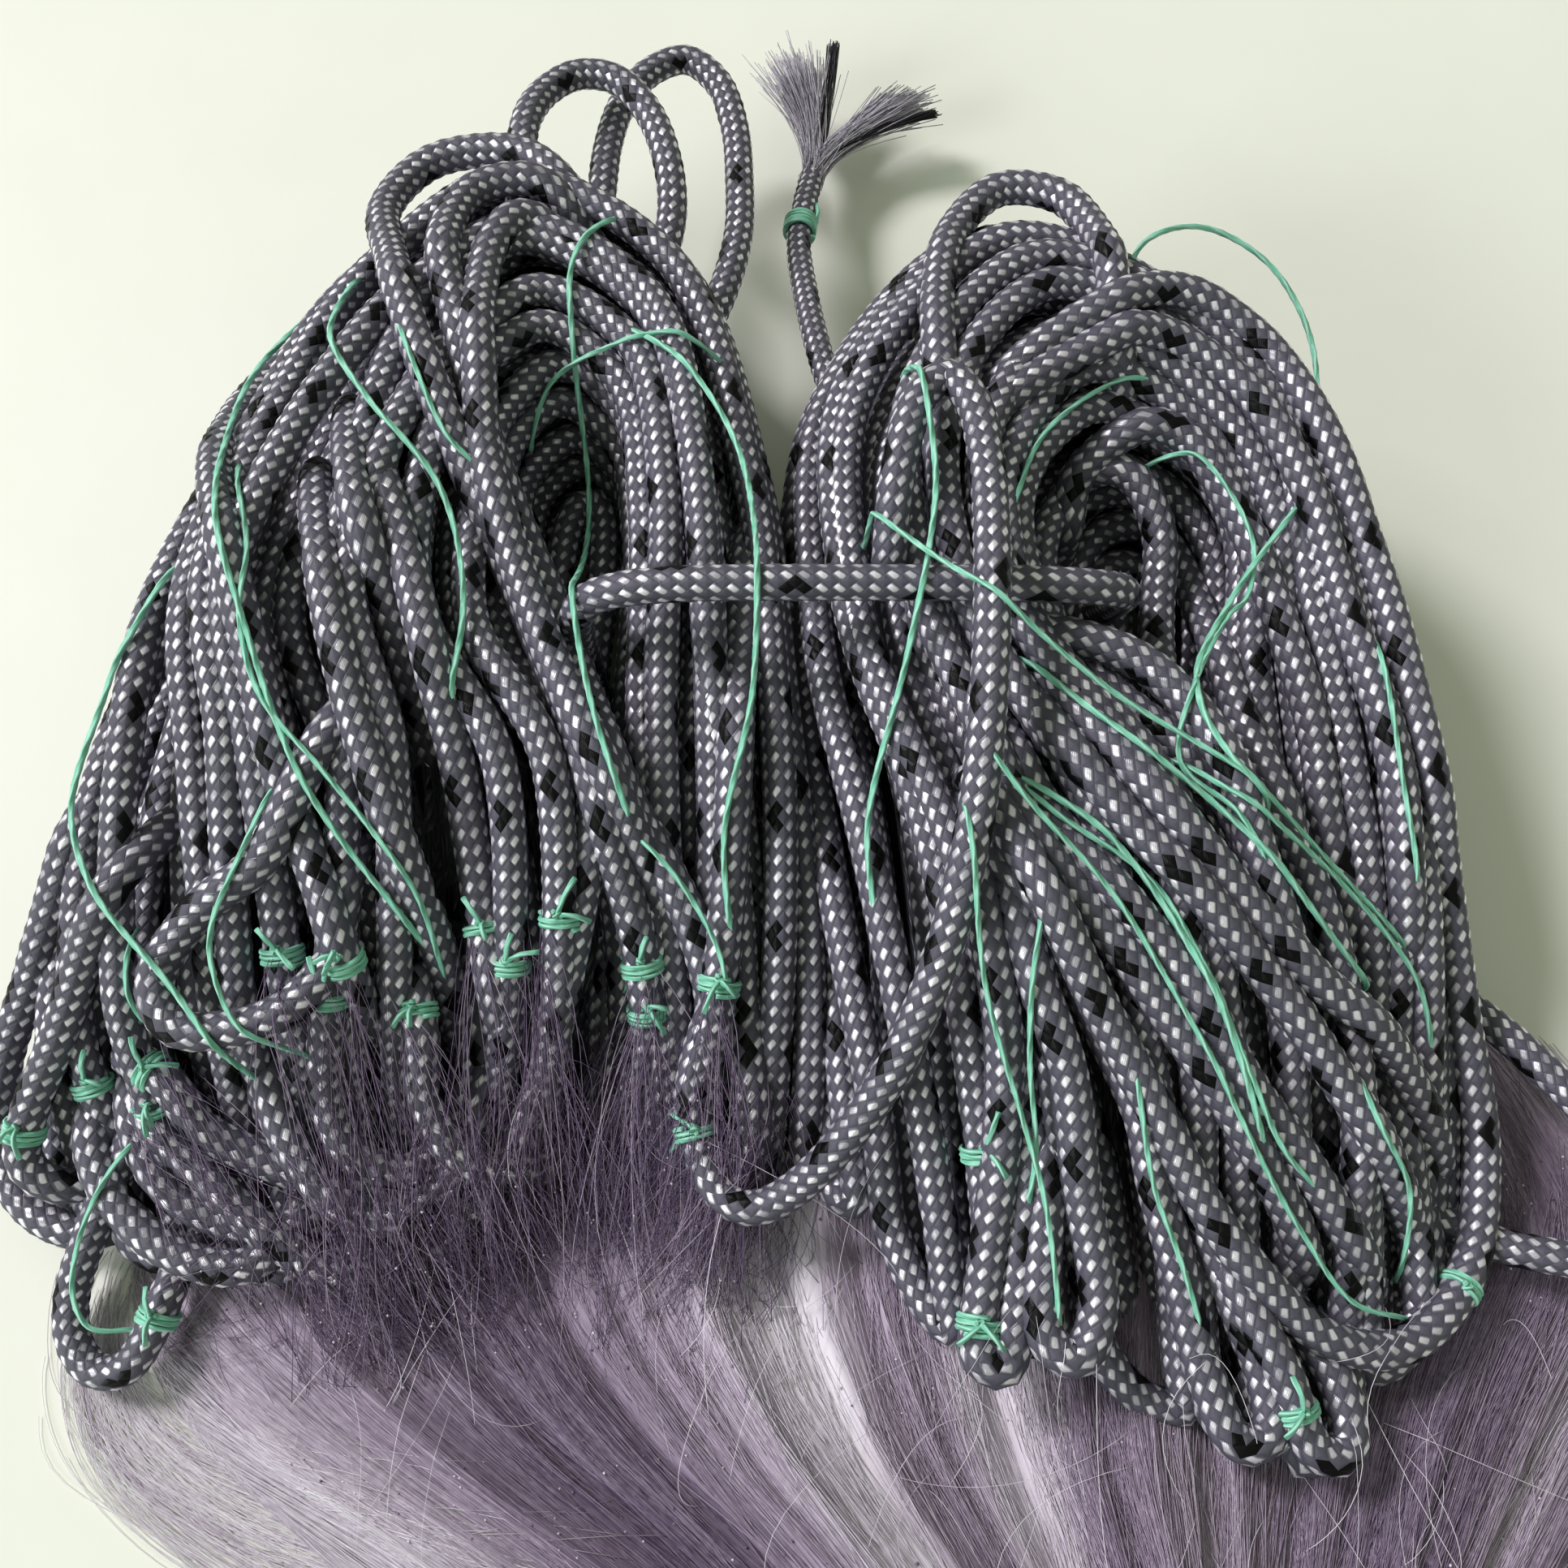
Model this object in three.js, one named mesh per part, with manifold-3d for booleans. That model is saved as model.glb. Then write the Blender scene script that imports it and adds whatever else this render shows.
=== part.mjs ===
// A fishing net bundled for storage, lying on a surface: its braided head line is folded into a hank of two
// arched lobes, a ring of the same line ties the lobes through their eyes, and the gathered webbing flows out
// in front. Millimetres, +Z up, +Y towards the arches, origin on the floor under the hank.
import * as THREE from "three";
import { ParametricGeometry } from "three/addons/geometries/ParametricGeometry.js";
import { mergeVertices } from "three/addons/utils/BufferGeometryUtils.js";
import Module from "manifold-3d";

const wasm = await Module();
wasm.setup();

// Driving dimensions
const lineDia = 5; // braided head line
const tailDia = 4.4; // the same line where it is pulled out thin
const twineDia = 1.1; // hanging twine
const gap = 0.3; // between pieces that touch
const ridgeDepth = 1.7; // valley between two turns of the hank
const turnLift = 0.7; // how far single turns stand proud or lie deep
const humpRoundness = 0.72; // 1 is an elliptic section, less is fuller
const tieY = 22; // where the tie crosses the hank
const tieTop = 52; // height of the tie's middle over the legs
const tieEyes = [-29, 47.5]; // x of the left and the right eye
const tieSquareness = 0.4; // 1 is an oval ring, less is squarer
const floorLift = 0.4; // the tie's clearance over the floor
const drapeSag = 0.03; // of a loose strand at each of its steps
const whippingAt = 0.79; // share of the tail's length
const whippingLength = 3.2;
const frayRootDia = 1.6;
const frayTipDia = 0.6;
const lockRise = 1.6; // of the webbing's locks over their valleys
const lockReach = 5; // how far the locks at the front end differ

// Steps of the solids
const turnsAcross = 20; // turns of line over a lobe's section
const pointsPerTurn = 2;
const floorPoints = 4;
const stepsAlongLeg = 14;
const frontSteps = 60;
const arcSamples = 48;
const slopeStep = 0.02; // radians
const capHeight = 2; // of the middle of an end cap
const rowSpacing = 10; // between the rows of a table when its heights are smoothed
const lineSides = 8;
const bedSides = 10;
const bightSteps = 26;
const tailSteps = 14;
const tiePoints = 24;
const tieSteps = 44;
const tieSides = 10;
const twineSides = 5;
const drapeSteps = 28;
const probesRound = 8; // places round a strand where its seat is felt for
const frayLockSides = 4;
const whippingSides = 12;
const locksAcross = 26;
const stepsAlongWebbing = 18;
const beyond = 200; // past every piece

// The two lobes, a row for each section from its front tips over the arch to its other leg: feet of the
// section on the floor, crest height, and how far the section's middle bows forward along the lobe
const leftLobe = {
  rows: [
    { outer: [-112, -74], inner: [-3, -70], crest: 6, bow: 0 },
    { outer: [-111, -48], inner: [-3, -45], crest: 14, bow: 0 },
    { outer: [-110, -29], inner: [-3, -25], crest: 31, bow: 0 },
    { outer: [-104, 3], inner: [-11, 0], crest: 46, bow: 0 },
    { outer: [-95, 29], inner: [-32, 19], crest: 52, bow: 0 },
    { outer: [-85, 55], inner: [-36, 40], crest: 52, bow: 2 },
    { outer: [-73, 84], inner: [-36, 51], crest: 49, bow: 4 },
    { outer: [-46, 110], inner: [-31, 56], crest: 46, bow: 0 },
    { outer: [-16, 93], inner: [-26, 52], crest: 45, bow: 0 },
    { outer: [-1, 50], inner: [-25, 36], crest: 47, bow: 0 },
    { outer: [5, 14], inner: [-27, 10], crest: 42, bow: 0 },
    { outer: [12, -30], inner: [-30, -28], crest: 24, bow: 0 },
    { outer: [12, -66], inner: [-30, -64], crest: 8, bow: 0 },
  ],
  split: 7, // row of the arch's top, where its two legs join
};
const rightLobe = {
  rows: [
    { outer: [3, -98], inner: [97, -98], crest: 15, bow: 0 },
    { outer: [3, -72], inner: [94, -68], crest: 21, bow: 0 },
    { outer: [3, -44], inner: [88, -40], crest: 34, bow: 0 },
    { outer: [2, -12], inner: [73, -4], crest: 48, bow: 0 },
    { outer: [-1, 28], inner: [45, 19], crest: 50, bow: 0 },
    { outer: [1, 64], inner: [43, 37], crest: 50, bow: 0 },
    { outer: [26, 96], inner: [49, 46], crest: 49, bow: 2 },
    { outer: [56, 86], inner: [56, 46], crest: 46, bow: 2 },
    { outer: [81, 63], inner: [61, 37], crest: 42, bow: 2 },
    { outer: [93, 27], inner: [59, 17], crest: 38, bow: 0 },
    { outer: [98, -10], inner: [60, -12], crest: 32, bow: 0 },
    { outer: [100, -40], inner: [62, -44], crest: 20, bow: 0 },
    { outer: [99, -70], inner: [64, -70], crest: 8, bow: 0 },
  ],
  split: 6,
};

// Plan of the turns' front ends, from left to right
const frontOutline = [
  [-124, -44], [-110, -48], [-102, -55], [-90, -60], [-74, -59], [-58, -54], [-40, -51], [-22, -51],
  [-6, -54], [6, -57], [15, -61], [20, -71], [25, -75], [30, -72], [37, -75], [44, -74], [51, -79], [57, -87],
  [64, -90], [71, -88], [77, -79], [85, -71], [94, -63], [102, -54], [124, -46],
];

// The webbing, a row for each section from under the hank forwards, and a row for each lengthwise fold
const webbingRows = [
  { y: -26, left: -72, right: 109, crest: 7 },
  { y: -42, left: -82, right: 119, crest: 9 },
  { y: -62, left: -88, right: 124, crest: 12 },
  { y: -84, left: -77, right: 124, crest: 15 },
  { y: -106, left: -57, right: 119, crest: 20 },
  { y: -130, left: -42, right: 107, crest: 22 },
  { y: -150, left: -30, right: 92, crest: 20 },
  { y: -164, left: -17, right: 76, crest: 15 },
  { y: -172, left: 2, right: 56, crest: 8 },
];
const webbingFolds = [
  { at: 0.1, width: 0.05, rise: 0.12 },
  { at: 0.24, width: 0.06, rise: -0.3 },
  { at: 0.35, width: 0.07, rise: 0.2 },
  { at: 0.5, width: 0.05, rise: -0.35 },
  { at: 0.61, width: 0.06, rise: 0.2 },
  { at: 0.71, width: 0.04, rise: -0.3 },
  { at: 0.84, width: 0.07, rise: 0.18 },
];

// Routes of the single turns that leave the hank, and of the loose end: points chosen by hand
const bightRoutes = {
  top_bight_inner: [
    [-41, 92, 36], [-41.5, 104, 37], [-41.5, 113, 36], [-39, 121, 34], [-34, 126, 32.5], [-28, 125.5, 32],
    [-22.5, 119, 32], [-19, 109, 32], [-18, 99, 31], [-20, 88, 30],
  ],
  top_bight_outer: [
    [-30, 94, 27], [-30, 106, 27], [-29.5, 118, 25.5], [-27.5, 128, 24], [-23, 136, 23], [-17, 139, 22.5],
    [-11.5, 134, 22.5], [-8.5, 124, 23], [-7.5, 112, 23.5], [-7.5, 101, 24], [-9.5, 90, 25], [-13, 79, 26],
  ],
  front_bight: [
    [14, 24, 47], [14.5, 32, 53], [16, 41, 55.5], [18.5, 48, 56], [22, 51, 56], [25, 47, 57], [26.5, 37, 58],
    [26.5, 22, 59], [25.5, 4, 57], [23.5, -12, 52.5], [19.5, -27, 45], [14, -39, 37], [7, -48, 29],
    [1, -53, 23], [-4, -55, 21], [-8.5, -53, 20], [-11.5, -47, 20], [-12.5, -40, 21.5], [-11, -33, 24],
    [-8, -26, 27],
  ],
  left_bight: [
    [-87, -37, 14], [-92.5, -47, 12], [-97.5, -58, 8], [-100, -66, 5], [-99, -72, 4], [-95.5, -75.5, 4],
    [-91, -75, 5], [-87.5, -70.5, 7], [-85, -64, 8], [-82, -56, 8], [-78, -46, 8],
  ],
  right_bight: [
    [94, -22, 12], [102, -29, 13], [109, -37, 14], [115, -45, 14.5], [119, -52, 14.5], [118, -59, 14.5],
    [113, -62, 14.5], [106, -61, 14], [98, -59, 12], [90, -55, 10],
  ],
};
const tailRoute = [
  [10, 64, 24], [7, 74, 22], [5, 84, 20], [3.5, 95, 17], [2.5, 106, 14.5], [3.5, 116, 12.5], [5, 124, 10.5],
];
const frayTufts = [
  { tip: [4, 148, 12], spread: 7, locks: 9 },
  { tip: [24, 139, 11], spread: 6, locks: 8 },
];

// Long loose strands of the hanging twine, which lie over the hank, and one that stands out as a loop
const twineRoutes = {
  twine_left_rim: [[-70, 80], [-78, 62], [-77, 40], [-71, 18], [-62, -4], [-48, -22]],
  twine_left_edge: [[-84, 30], [-92, 12], [-96, -4], [-91, -16], [-80, -28], [-72, -38]],
  twine_left_mid: [[-63, 78], [-64, 62], [-57, 50], [-47, 38], [-43, 22], [-44, 6]],
  twine_left_eye: [[-25, 90], [-31, 80], [-31, 66], [-29.5, 50], [-29, 34], [-28, 20], [-25, 6], [-20, -8]],
  twine_centre: [[-24, 69], [-14, 60], [-7, 48], [-4, 32], [-4, 10], [-8, -8], [-7, -22]],
  twine_middle: [[17, 58], [20, 36], [19, 26], [16, 12], [11, -8], [12, -20]],
  twine_fan_upper: [[31, 14], [40, 4], [56, -8], [78, -28]],
  twine_fan_lower: [[29, -3], [42, -12], [54, -30], [62, -50]],
  twine_right_leg: [[73, 40], [62, 25], [54, 9], [57, -1], [65, -8]],
};
const twineLoop = [
  [50, 76, 42], [54, 83, 44], [64, 88, 41], [74, 84, 38], [79.5, 74, 36], [80, 62, 35], [76, 52, 35],
];

const finishes = {
  line: { color: 0x5a5864, roughness: 0.55 },
  twine: { color: 0x46b08f, roughness: 0.6 },
  webbing: { color: 0x8d7f92, roughness: 0.4 },
};

const upY = new THREE.Vector3(0, 1, 0);
const goldenTurn = Math.PI * (3 - Math.sqrt(5)); // spreads locks evenly round a tuft
const bundle = new THREE.Group();

function addMesh(name, geometry, finish) {
  const mesh = new THREE.Mesh(geometry, new THREE.MeshStandardMaterial({ ...finish, metalness: 0 }));
  mesh.name = name;
  bundle.add(mesh);
  return mesh;
}

// Closed surface to solid and back
function toSolid(geometry) {
  const bare = geometry.clone();
  bare.deleteAttribute("normal");
  bare.deleteAttribute("uv");
  const merged = mergeVertices(bare, 1e-3);
  return new wasm.Manifold(
    new wasm.Mesh({
      numProp: 3,
      vertProperties: merged.attributes.position.array,
      triVerts: new Uint32Array(merged.index.array),
    }),
  );
}

function toGeometry(solid) {
  const mesh = solid.getMesh();
  const geometry = new THREE.BufferGeometry();
  geometry.setAttribute("position", new THREE.BufferAttribute(mesh.vertProperties, 3));
  geometry.setIndex(new THREE.BufferAttribute(mesh.triVerts, 1));
  geometry.computeVertexNormals();
  return geometry;
}

function largestBody(solid) {
  return solid.decompose().reduce((a, b) => (b.volume() > a.volume() ? b : a));
}

function curveThrough(points, closed = false) {
  return new THREE.CatmullRomCurve3(points.map((p) => new THREE.Vector3(...p)), closed);
}

// An irregular wave between -1 and 1 that makes like things uneven
function uneven(count, phase) {
  return Math.sin(2.4 * count + phase) * Math.sin(0.7 * count + 1 - phase);
}

// A round line along an open curve
function tube(points, diameter, sides, steps) {
  const corners = Array.from({ length: sides }, (_, i) => {
    const turn = (2 * Math.PI * i) / sides;
    return new THREE.Vector2(Math.cos(turn), Math.sin(turn)).multiplyScalar(diameter / 2);
  });
  return new THREE.ExtrudeGeometry(new THREE.Shape(corners), { steps, extrudePath: curveThrough(points) });
}

// The hollow that a line lies in: the line grown by the gap, also at its two ends
function bed(points, diameter, steps) {
  const lengthen = (end, next) => {
    const start = new THREE.Vector3(...end);
    return start.add(start.clone().sub(new THREE.Vector3(...next)).setLength(gap)).toArray();
  };
  const last = points.length - 1;
  const longer = [lengthen(points[0], points[1]), ...points, lengthen(points[last], points[last - 1])];
  return toSolid(tube(longer, diameter + 2 * gap, bedSides, steps));
}

// A humped section: place across and up at an angle from its outer foot, 0, to its inner one, pi
function humpPoint(crest, angle) {
  const side = Math.cos(angle);
  return {
    across: (1 - Math.sign(side) * Math.abs(side) ** humpRoundness) / 2,
    up: crest * Math.max(Math.sin(angle), 0) ** humpRoundness,
  };
}

// The angle at a share of the hump's arc length, so that the turns lie evenly round it
function humpAngle(width, crest, share) {
  const lengths = [0];
  let last = humpPoint(crest, 0);
  for (let i = 1; i <= arcSamples; i++) {
    const next = humpPoint(crest, (Math.PI * i) / arcSamples);
    lengths.push(lengths[i - 1] + Math.hypot((next.across - last.across) * width, next.up - last.up));
    last = next;
  }
  const wanted = share * lengths[arcSamples];
  let i = 1;
  while (i < arcSamples && lengths[i] < wanted) i++;
  const part = (wanted - lengths[i - 1]) / (lengths[i] - lengths[i - 1]);
  return (Math.PI * (i - 1 + part)) / arcSamples;
}

// A lobe of the hank, grown all over by a clearance
function makeLobe({ rows, split }, grow) {
  const outer = curveThrough(rows.map((r) => [...r.outer, 0]));
  const inner = curveThrough(rows.map((r) => [...r.inner, 0]));
  const rise = curveThrough(rows.map((r, i) => [r.crest, r.bow, rowSpacing * i]));
  const splitAt = split / (rows.length - 1);

  // A point of the hump, sunk square to its section
  function surface(along, across, sink) {
    const outerFoot = outer.getPoint(along);
    const innerFoot = inner.getPoint(along);
    const { x: crest, y: bow } = rise.getPoint(along);
    const width = outerFoot.distanceTo(innerFoot);
    const angle = humpAngle(width, crest, across);
    const here = humpPoint(crest, angle);
    const before = humpPoint(crest, Math.max(angle - slopeStep, 0));
    const after = humpPoint(crest, Math.min(angle + slopeStep, Math.PI));
    const slope = Math.atan2(after.up - before.up, (after.across - before.across) * width);
    const acrossDir = innerFoot.clone().sub(outerFoot).normalize();
    const alongDir = new THREE.Vector3(-acrossDir.y, acrossDir.x, 0);
    const forward = bow * 4 * here.across * (1 - here.across);
    const point = outerFoot.lerp(innerFoot, here.across).addScaledVector(alongDir, forward);
    point.addScaledVector(acrossDir, sink * Math.sin(slope));
    point.z = Math.max(here.up - sink * Math.cos(slope), 0);
    return point;
  }

  // One leg of the lobe as a closed body: ridged turns over the top, flat underneath
  function leg(from, to) {
    const top = turnsAcross * pointsPerTurn;
    const round = top + floorPoints;
    const stacks = stepsAlongLeg + 2;
    const place = (u, v, target) => {
      const step = Math.round(v * stacks);
      const along = from + (to - from) * THREE.MathUtils.clamp((step - 1) / stepsAlongLeg, 0, 1);
      const i = Math.round(u * round) % round;
      const heel = surface(along, 0, -grow).setZ(0);
      const toe = surface(along, 1, -grow).setZ(0);
      if (step === 0 || step === stacks) target.copy(heel).lerp(toe, 0.5).setZ(capHeight);
      else if (i > top) target.copy(toe).lerp(heel, (i - top) / floorPoints);
      else if (i === 0 || i === top) target.copy(i === 0 ? heel : toe);
      else {
        const isValley = i % pointsPerTurn === 0;
        const sink = isValley ? ridgeDepth : turnLift * uneven(i, 2 * along);
        target.copy(surface(along, i / top, sink - grow));
      }
    };
    return toSolid(new ParametricGeometry(place, round, stacks));
  }

  return leg(0, splitAt).add(leg(splitAt, 1));
}

// Everything in front of the turns' ends
function frontOfTurns(shift) {
  const ends = curveThrough(frontOutline.map(([x, y]) => [x, y - shift, 0])).getPoints(frontSteps);
  const plan = new THREE.Shape(ends.map((p) => new THREE.Vector2(p.x, p.y)));
  plan.lineTo(ends[frontSteps].x, -beyond);
  plan.lineTo(ends[0].x, -beyond);
  plan.closePath();
  const block = new THREE.ExtrudeGeometry(plan, { depth: 2 * beyond, bevelEnabled: false });
  return toSolid(block.translate(0, 0, -beyond));
}

function makeHank(grow) {
  return makeLobe(leftLobe, grow).add(makeLobe(rightLobe, grow)).subtract(frontOfTurns(grow));
}

// The tie: a ring down both eyes, over the inner legs and under them
function makeTie(grow) {
  const [leftEye, rightEye] = tieEyes;
  const low = lineDia / 2 + floorLift;
  const squared = (value) => Math.sign(value) * Math.abs(value) ** tieSquareness;
  const points = Array.from({ length: tiePoints }, (_, i) => {
    const turn = (2 * Math.PI * i) / tiePoints;
    const x = (leftEye + rightEye) / 2 + ((rightEye - leftEye) / 2) * squared(Math.cos(turn));
    const z = (tieTop + low) / 2 + ((tieTop - low) / 2) * squared(Math.sin(turn));
    return [x, tieY, z];
  });
  return new THREE.TubeGeometry(curveThrough(points, true), tieSteps, lineDia / 2 + grow, tieSides, true);
}

// A thin lock of loosened yarns from its root to its tip
function makeLock(root, tip) {
  const along = tip.clone().sub(root);
  const geometry = new THREE.CylinderGeometry(frayTipDia / 2, frayRootDia / 2, along.length(), frayLockSides);
  geometry.applyQuaternion(new THREE.Quaternion().setFromUnitVectors(upY, along.clone().normalize()));
  geometry.translate(...root.clone().lerp(tip, 0.5).toArray());
  return toSolid(geometry);
}

// The frayed end: tufts of locks, fused at a root ball just past the line's end
function makeFray() {
  const [before, end] = tailRoute.slice(-2).map((p) => new THREE.Vector3(...p));
  const out = end.clone().sub(before).normalize();
  const root = end.clone().addScaledVector(out, tailDia / 2 + gap);
  let brush = toSolid(new THREE.SphereGeometry(tailDia / 2, 8, 6).translate(...root.toArray()));
  for (const { tip, spread, locks } of frayTufts) {
    for (let i = 0; i < locks; i++) {
      const turn = goldenTurn * i;
      const radius = (spread * (i + 1)) / locks;
      const offset = new THREE.Vector3(Math.cos(turn), -0.5, 0.5 * Math.sin(turn));
      brush = brush.add(makeLock(root, new THREE.Vector3(...tip).addScaledVector(offset, radius)));
    }
  }
  return brush;
}

// A band of twine turns round the tail
function makeWhipping() {
  const inner = tailDia / 2 + gap;
  const outer = inner + twineDia;
  const half = whippingLength / 2;
  const profile = [[inner, -half], [outer, -half], [outer, half], [inner, half], [inner, -half]];
  const band = new THREE.LatheGeometry(profile.map((p) => new THREE.Vector2(...p)), whippingSides);
  const route = curveThrough(tailRoute);
  band.applyQuaternion(new THREE.Quaternion().setFromUnitVectors(upY, route.getTangentAt(whippingAt)));
  return band.translate(...route.getPointAt(whippingAt).toArray());
}

// The gathered webbing: a lumpy slab of locks, flat underneath, with folds along its flow
function makeWebbing() {
  const edges = curveThrough(webbingRows.map((r) => [r.left, r.right, r.y]));
  const rise = curveThrough(webbingRows.map((r, i) => [r.crest, 0, rowSpacing * i]));
  const top = locksAcross * 2;
  const round = top + floorPoints;
  const stacks = stepsAlongWebbing + 2;
  const place = (u, v, target) => {
    const step = Math.round(v * stacks);
    const along = THREE.MathUtils.clamp((stacks - 1 - step) / stepsAlongWebbing, 0, 1);
    const { x: left, y: right, z: y } = edges.getPoint(along);
    const crest = rise.getPoint(along).x;
    const i = Math.round(u * round) % round;
    if (step === 0 || step === stacks) target.set((left + right) / 2, y, capHeight);
    else if (i > top) target.set(right + ((left - right) * (i - top)) / floorPoints, y, 0);
    else {
      const share = i / top;
      const lock = uneven(i, 0);
      const fold = webbingFolds.reduce(
        (sum, f) => sum + f.rise * Math.exp(-(((share - f.at) / f.width) ** 2)),
        0,
      );
      const edge = Math.sqrt(Math.max(Math.sin(Math.PI * share), 0));
      const lockUp = lockRise * (i % 2) * (1 + lock / 2);
      const up = edge * (crest * (1 + fold * Math.sqrt(along)) + lockUp);
      target.set(left + (right - left) * share, y - lockReach * lock * edge * along ** 6, up);
    }
  };
  return toSolid(new ParametricGeometry(place, round, stacks));
}

// Lays a strand over what is below it: never lower than its seat, and taut between the high points
function drape(plan, seats) {
  const route = curveThrough(plan.map(([x, y]) => [x, y, 0])).getSpacedPoints(drapeSteps);
  const ray = new THREE.Raycaster();
  const down = new THREE.Vector3(0, 0, -1);
  const need = route.map((p) => {
    let top = 0;
    for (let i = 0; i <= probesRound; i++) {
      const reach = i === probesRound ? 0 : twineDia;
      const turn = (2 * Math.PI * i) / probesRound;
      ray.set(new THREE.Vector3(p.x + reach * Math.cos(turn), p.y + reach * Math.sin(turn), beyond), down);
      const hit = ray.intersectObjects(seats)[0];
      if (hit) top = Math.max(top, hit.point.z);
    }
    return top + twineDia / 2 + gap;
  });
  const heights = [...need];
  for (let pass = 0; pass < drapeSteps; pass++) {
    for (let i = 1; i < heights.length - 1; i++) {
      heights[i] = Math.max(need[i], (heights[i - 1] + heights[i + 1]) / 2 - drapeSag);
    }
  }
  return route.map((p, i) => [p.x, p.y, heights[i]]);
}

// The hank and the webbing, with beds for the lines that lie in them
let hank = makeHank(0).subtract(toSolid(makeTie(gap))).subtract(bed(tailRoute, tailDia, tailSteps));
hank = hank.subtract(bed(twineLoop, twineDia, bightSteps));
let webbing = makeWebbing().subtract(makeHank(gap));
for (const route of Object.values(bightRoutes)) {
  const hollow = bed(route, lineDia, bightSteps);
  hank = hank.subtract(hollow);
  webbing = webbing.subtract(hollow);
}
const seats = [addMesh("line_hank", toGeometry(largestBody(hank)), finishes.line)];
addMesh("net_webbing", toGeometry(largestBody(webbing)), finishes.webbing);

// The tie, the single turns and the loose end
seats.push(addMesh("hank_tie", makeTie(0), finishes.line));
for (const [name, route] of Object.entries(bightRoutes)) {
  seats.push(addMesh(name, tube(route, lineDia, lineSides, bightSteps), finishes.line));
}
addMesh("tail_line", tube(tailRoute, tailDia, lineSides, tailSteps), finishes.line);
addMesh("tail_whipping", makeWhipping(), finishes.twine);
addMesh("tail_fray", toGeometry(makeFray()), finishes.line);

// The twine strands, laid over all of that
for (const [name, plan] of Object.entries(twineRoutes)) {
  addMesh(name, tube(drape(plan, seats), twineDia, twineSides, drapeSteps), finishes.twine);
}
addMesh("twine_right_rim", tube(twineLoop, twineDia, twineSides, bightSteps), finishes.twine);

export default bundle;
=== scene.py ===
import math

import bpy
import numpy as np
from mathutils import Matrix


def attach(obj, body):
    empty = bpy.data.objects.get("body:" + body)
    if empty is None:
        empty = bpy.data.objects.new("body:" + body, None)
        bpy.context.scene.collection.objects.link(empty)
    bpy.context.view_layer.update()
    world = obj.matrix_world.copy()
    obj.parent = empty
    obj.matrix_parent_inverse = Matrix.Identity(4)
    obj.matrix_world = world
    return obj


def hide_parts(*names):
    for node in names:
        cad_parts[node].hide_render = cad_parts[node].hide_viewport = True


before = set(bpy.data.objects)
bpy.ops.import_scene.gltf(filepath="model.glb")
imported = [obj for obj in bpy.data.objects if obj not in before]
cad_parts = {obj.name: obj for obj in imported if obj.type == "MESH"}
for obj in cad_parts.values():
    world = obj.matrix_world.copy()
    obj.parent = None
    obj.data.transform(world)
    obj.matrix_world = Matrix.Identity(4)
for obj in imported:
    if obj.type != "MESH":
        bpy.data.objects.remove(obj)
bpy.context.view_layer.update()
mm = 0.001  # the tables below are in millimetres
tiny = 1e-6  # keeps divisions safe
chance = np.random.default_rng(11)
print("frame loaded:", len(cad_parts), "nodes")

# Camera at the photograph's angle
cameraSet = {
    "target": (0, 0, 35),
    "distance": 215,
    "elevation": 70,
    "focalLength": 1937,  # in pixels of the photograph
    "imageSide": 1932,
    "sensor": 36,
    "clipStart": 10,
}


def addCamera(spec):
    data = bpy.data.cameras.new("camera")
    data.sensor_width = spec["sensor"]
    data.lens = spec["sensor"] * spec["focalLength"] / spec["imageSide"]
    data.clip_start = spec["clipStart"] * mm
    camera = bpy.data.objects.new("camera", data)
    bpy.context.scene.collection.objects.link(camera)
    tilt = math.radians(spec["elevation"])
    target = np.array(spec["target"]) * mm
    back = np.array([0, -math.cos(tilt), math.sin(tilt)]) * spec["distance"] * mm
    camera.location = target + back
    camera.rotation_euler = (math.pi / 2 - tilt, 0, 0)
    bpy.context.scene.camera = camera


addCamera(cameraSet)

# The line, its turns and its loose stretches, all in millimetres
line = {
    "dia": 5.0,
    "tailDia": 4.4,
    "columns": 8,  # of picks that lean one way, round the braid
    "pitch": 2.3,  # along one column
    "relief": 0.16,  # of a pick over the valleys beside it
    "flattened": 1.06,  # how much wider a turn gets where it lies over others
}

leftLobe = [  # outer foot, inner foot, crest, bow
    ((-112, -74), (-3, -70), 6, 0),
    ((-111, -48), (-3, -45), 14, 0),
    ((-110, -29), (-3, -25), 31, 0),
    ((-104, 3), (-11, 0), 46, 0),
    ((-95, 29), (-32, 19), 52, 0),
    ((-85, 55), (-36, 40), 52, 2),
    ((-73, 84), (-36, 51), 49, 4),
    ((-46, 110), (-31, 56), 46, 0),
    ((-16, 93), (-26, 52), 45, 0),
    ((-1, 50), (-25, 36), 47, 0),
    ((5, 14), (-27, 10), 42, 0),
    ((12, -30), (-30, -28), 24, 0),
    ((12, -66), (-30, -64), 8, 0),
]
rightLobe = [
    ((3, -98), (97, -98), 15, 0),
    ((3, -72), (94, -68), 21, 0),
    ((3, -44), (88, -40), 34, 0),
    ((2, -12), (73, -4), 48, 0),
    ((-1, 28), (45, 19), 50, 0),
    ((1, 64), (43, 37), 50, 0),
    ((26, 96), (49, 46), 49, 2),
    ((56, 86), (56, 46), 46, 2),
    ((81, 63), (61, 37), 42, 2),
    ((93, 27), (59, 17), 38, 0),
    ((98, -10), (60, -12), 32, 0),
    ((100, -40), (62, -44), 20, 0),
    ((99, -70), (64, -70), 8, 0),
]
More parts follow.
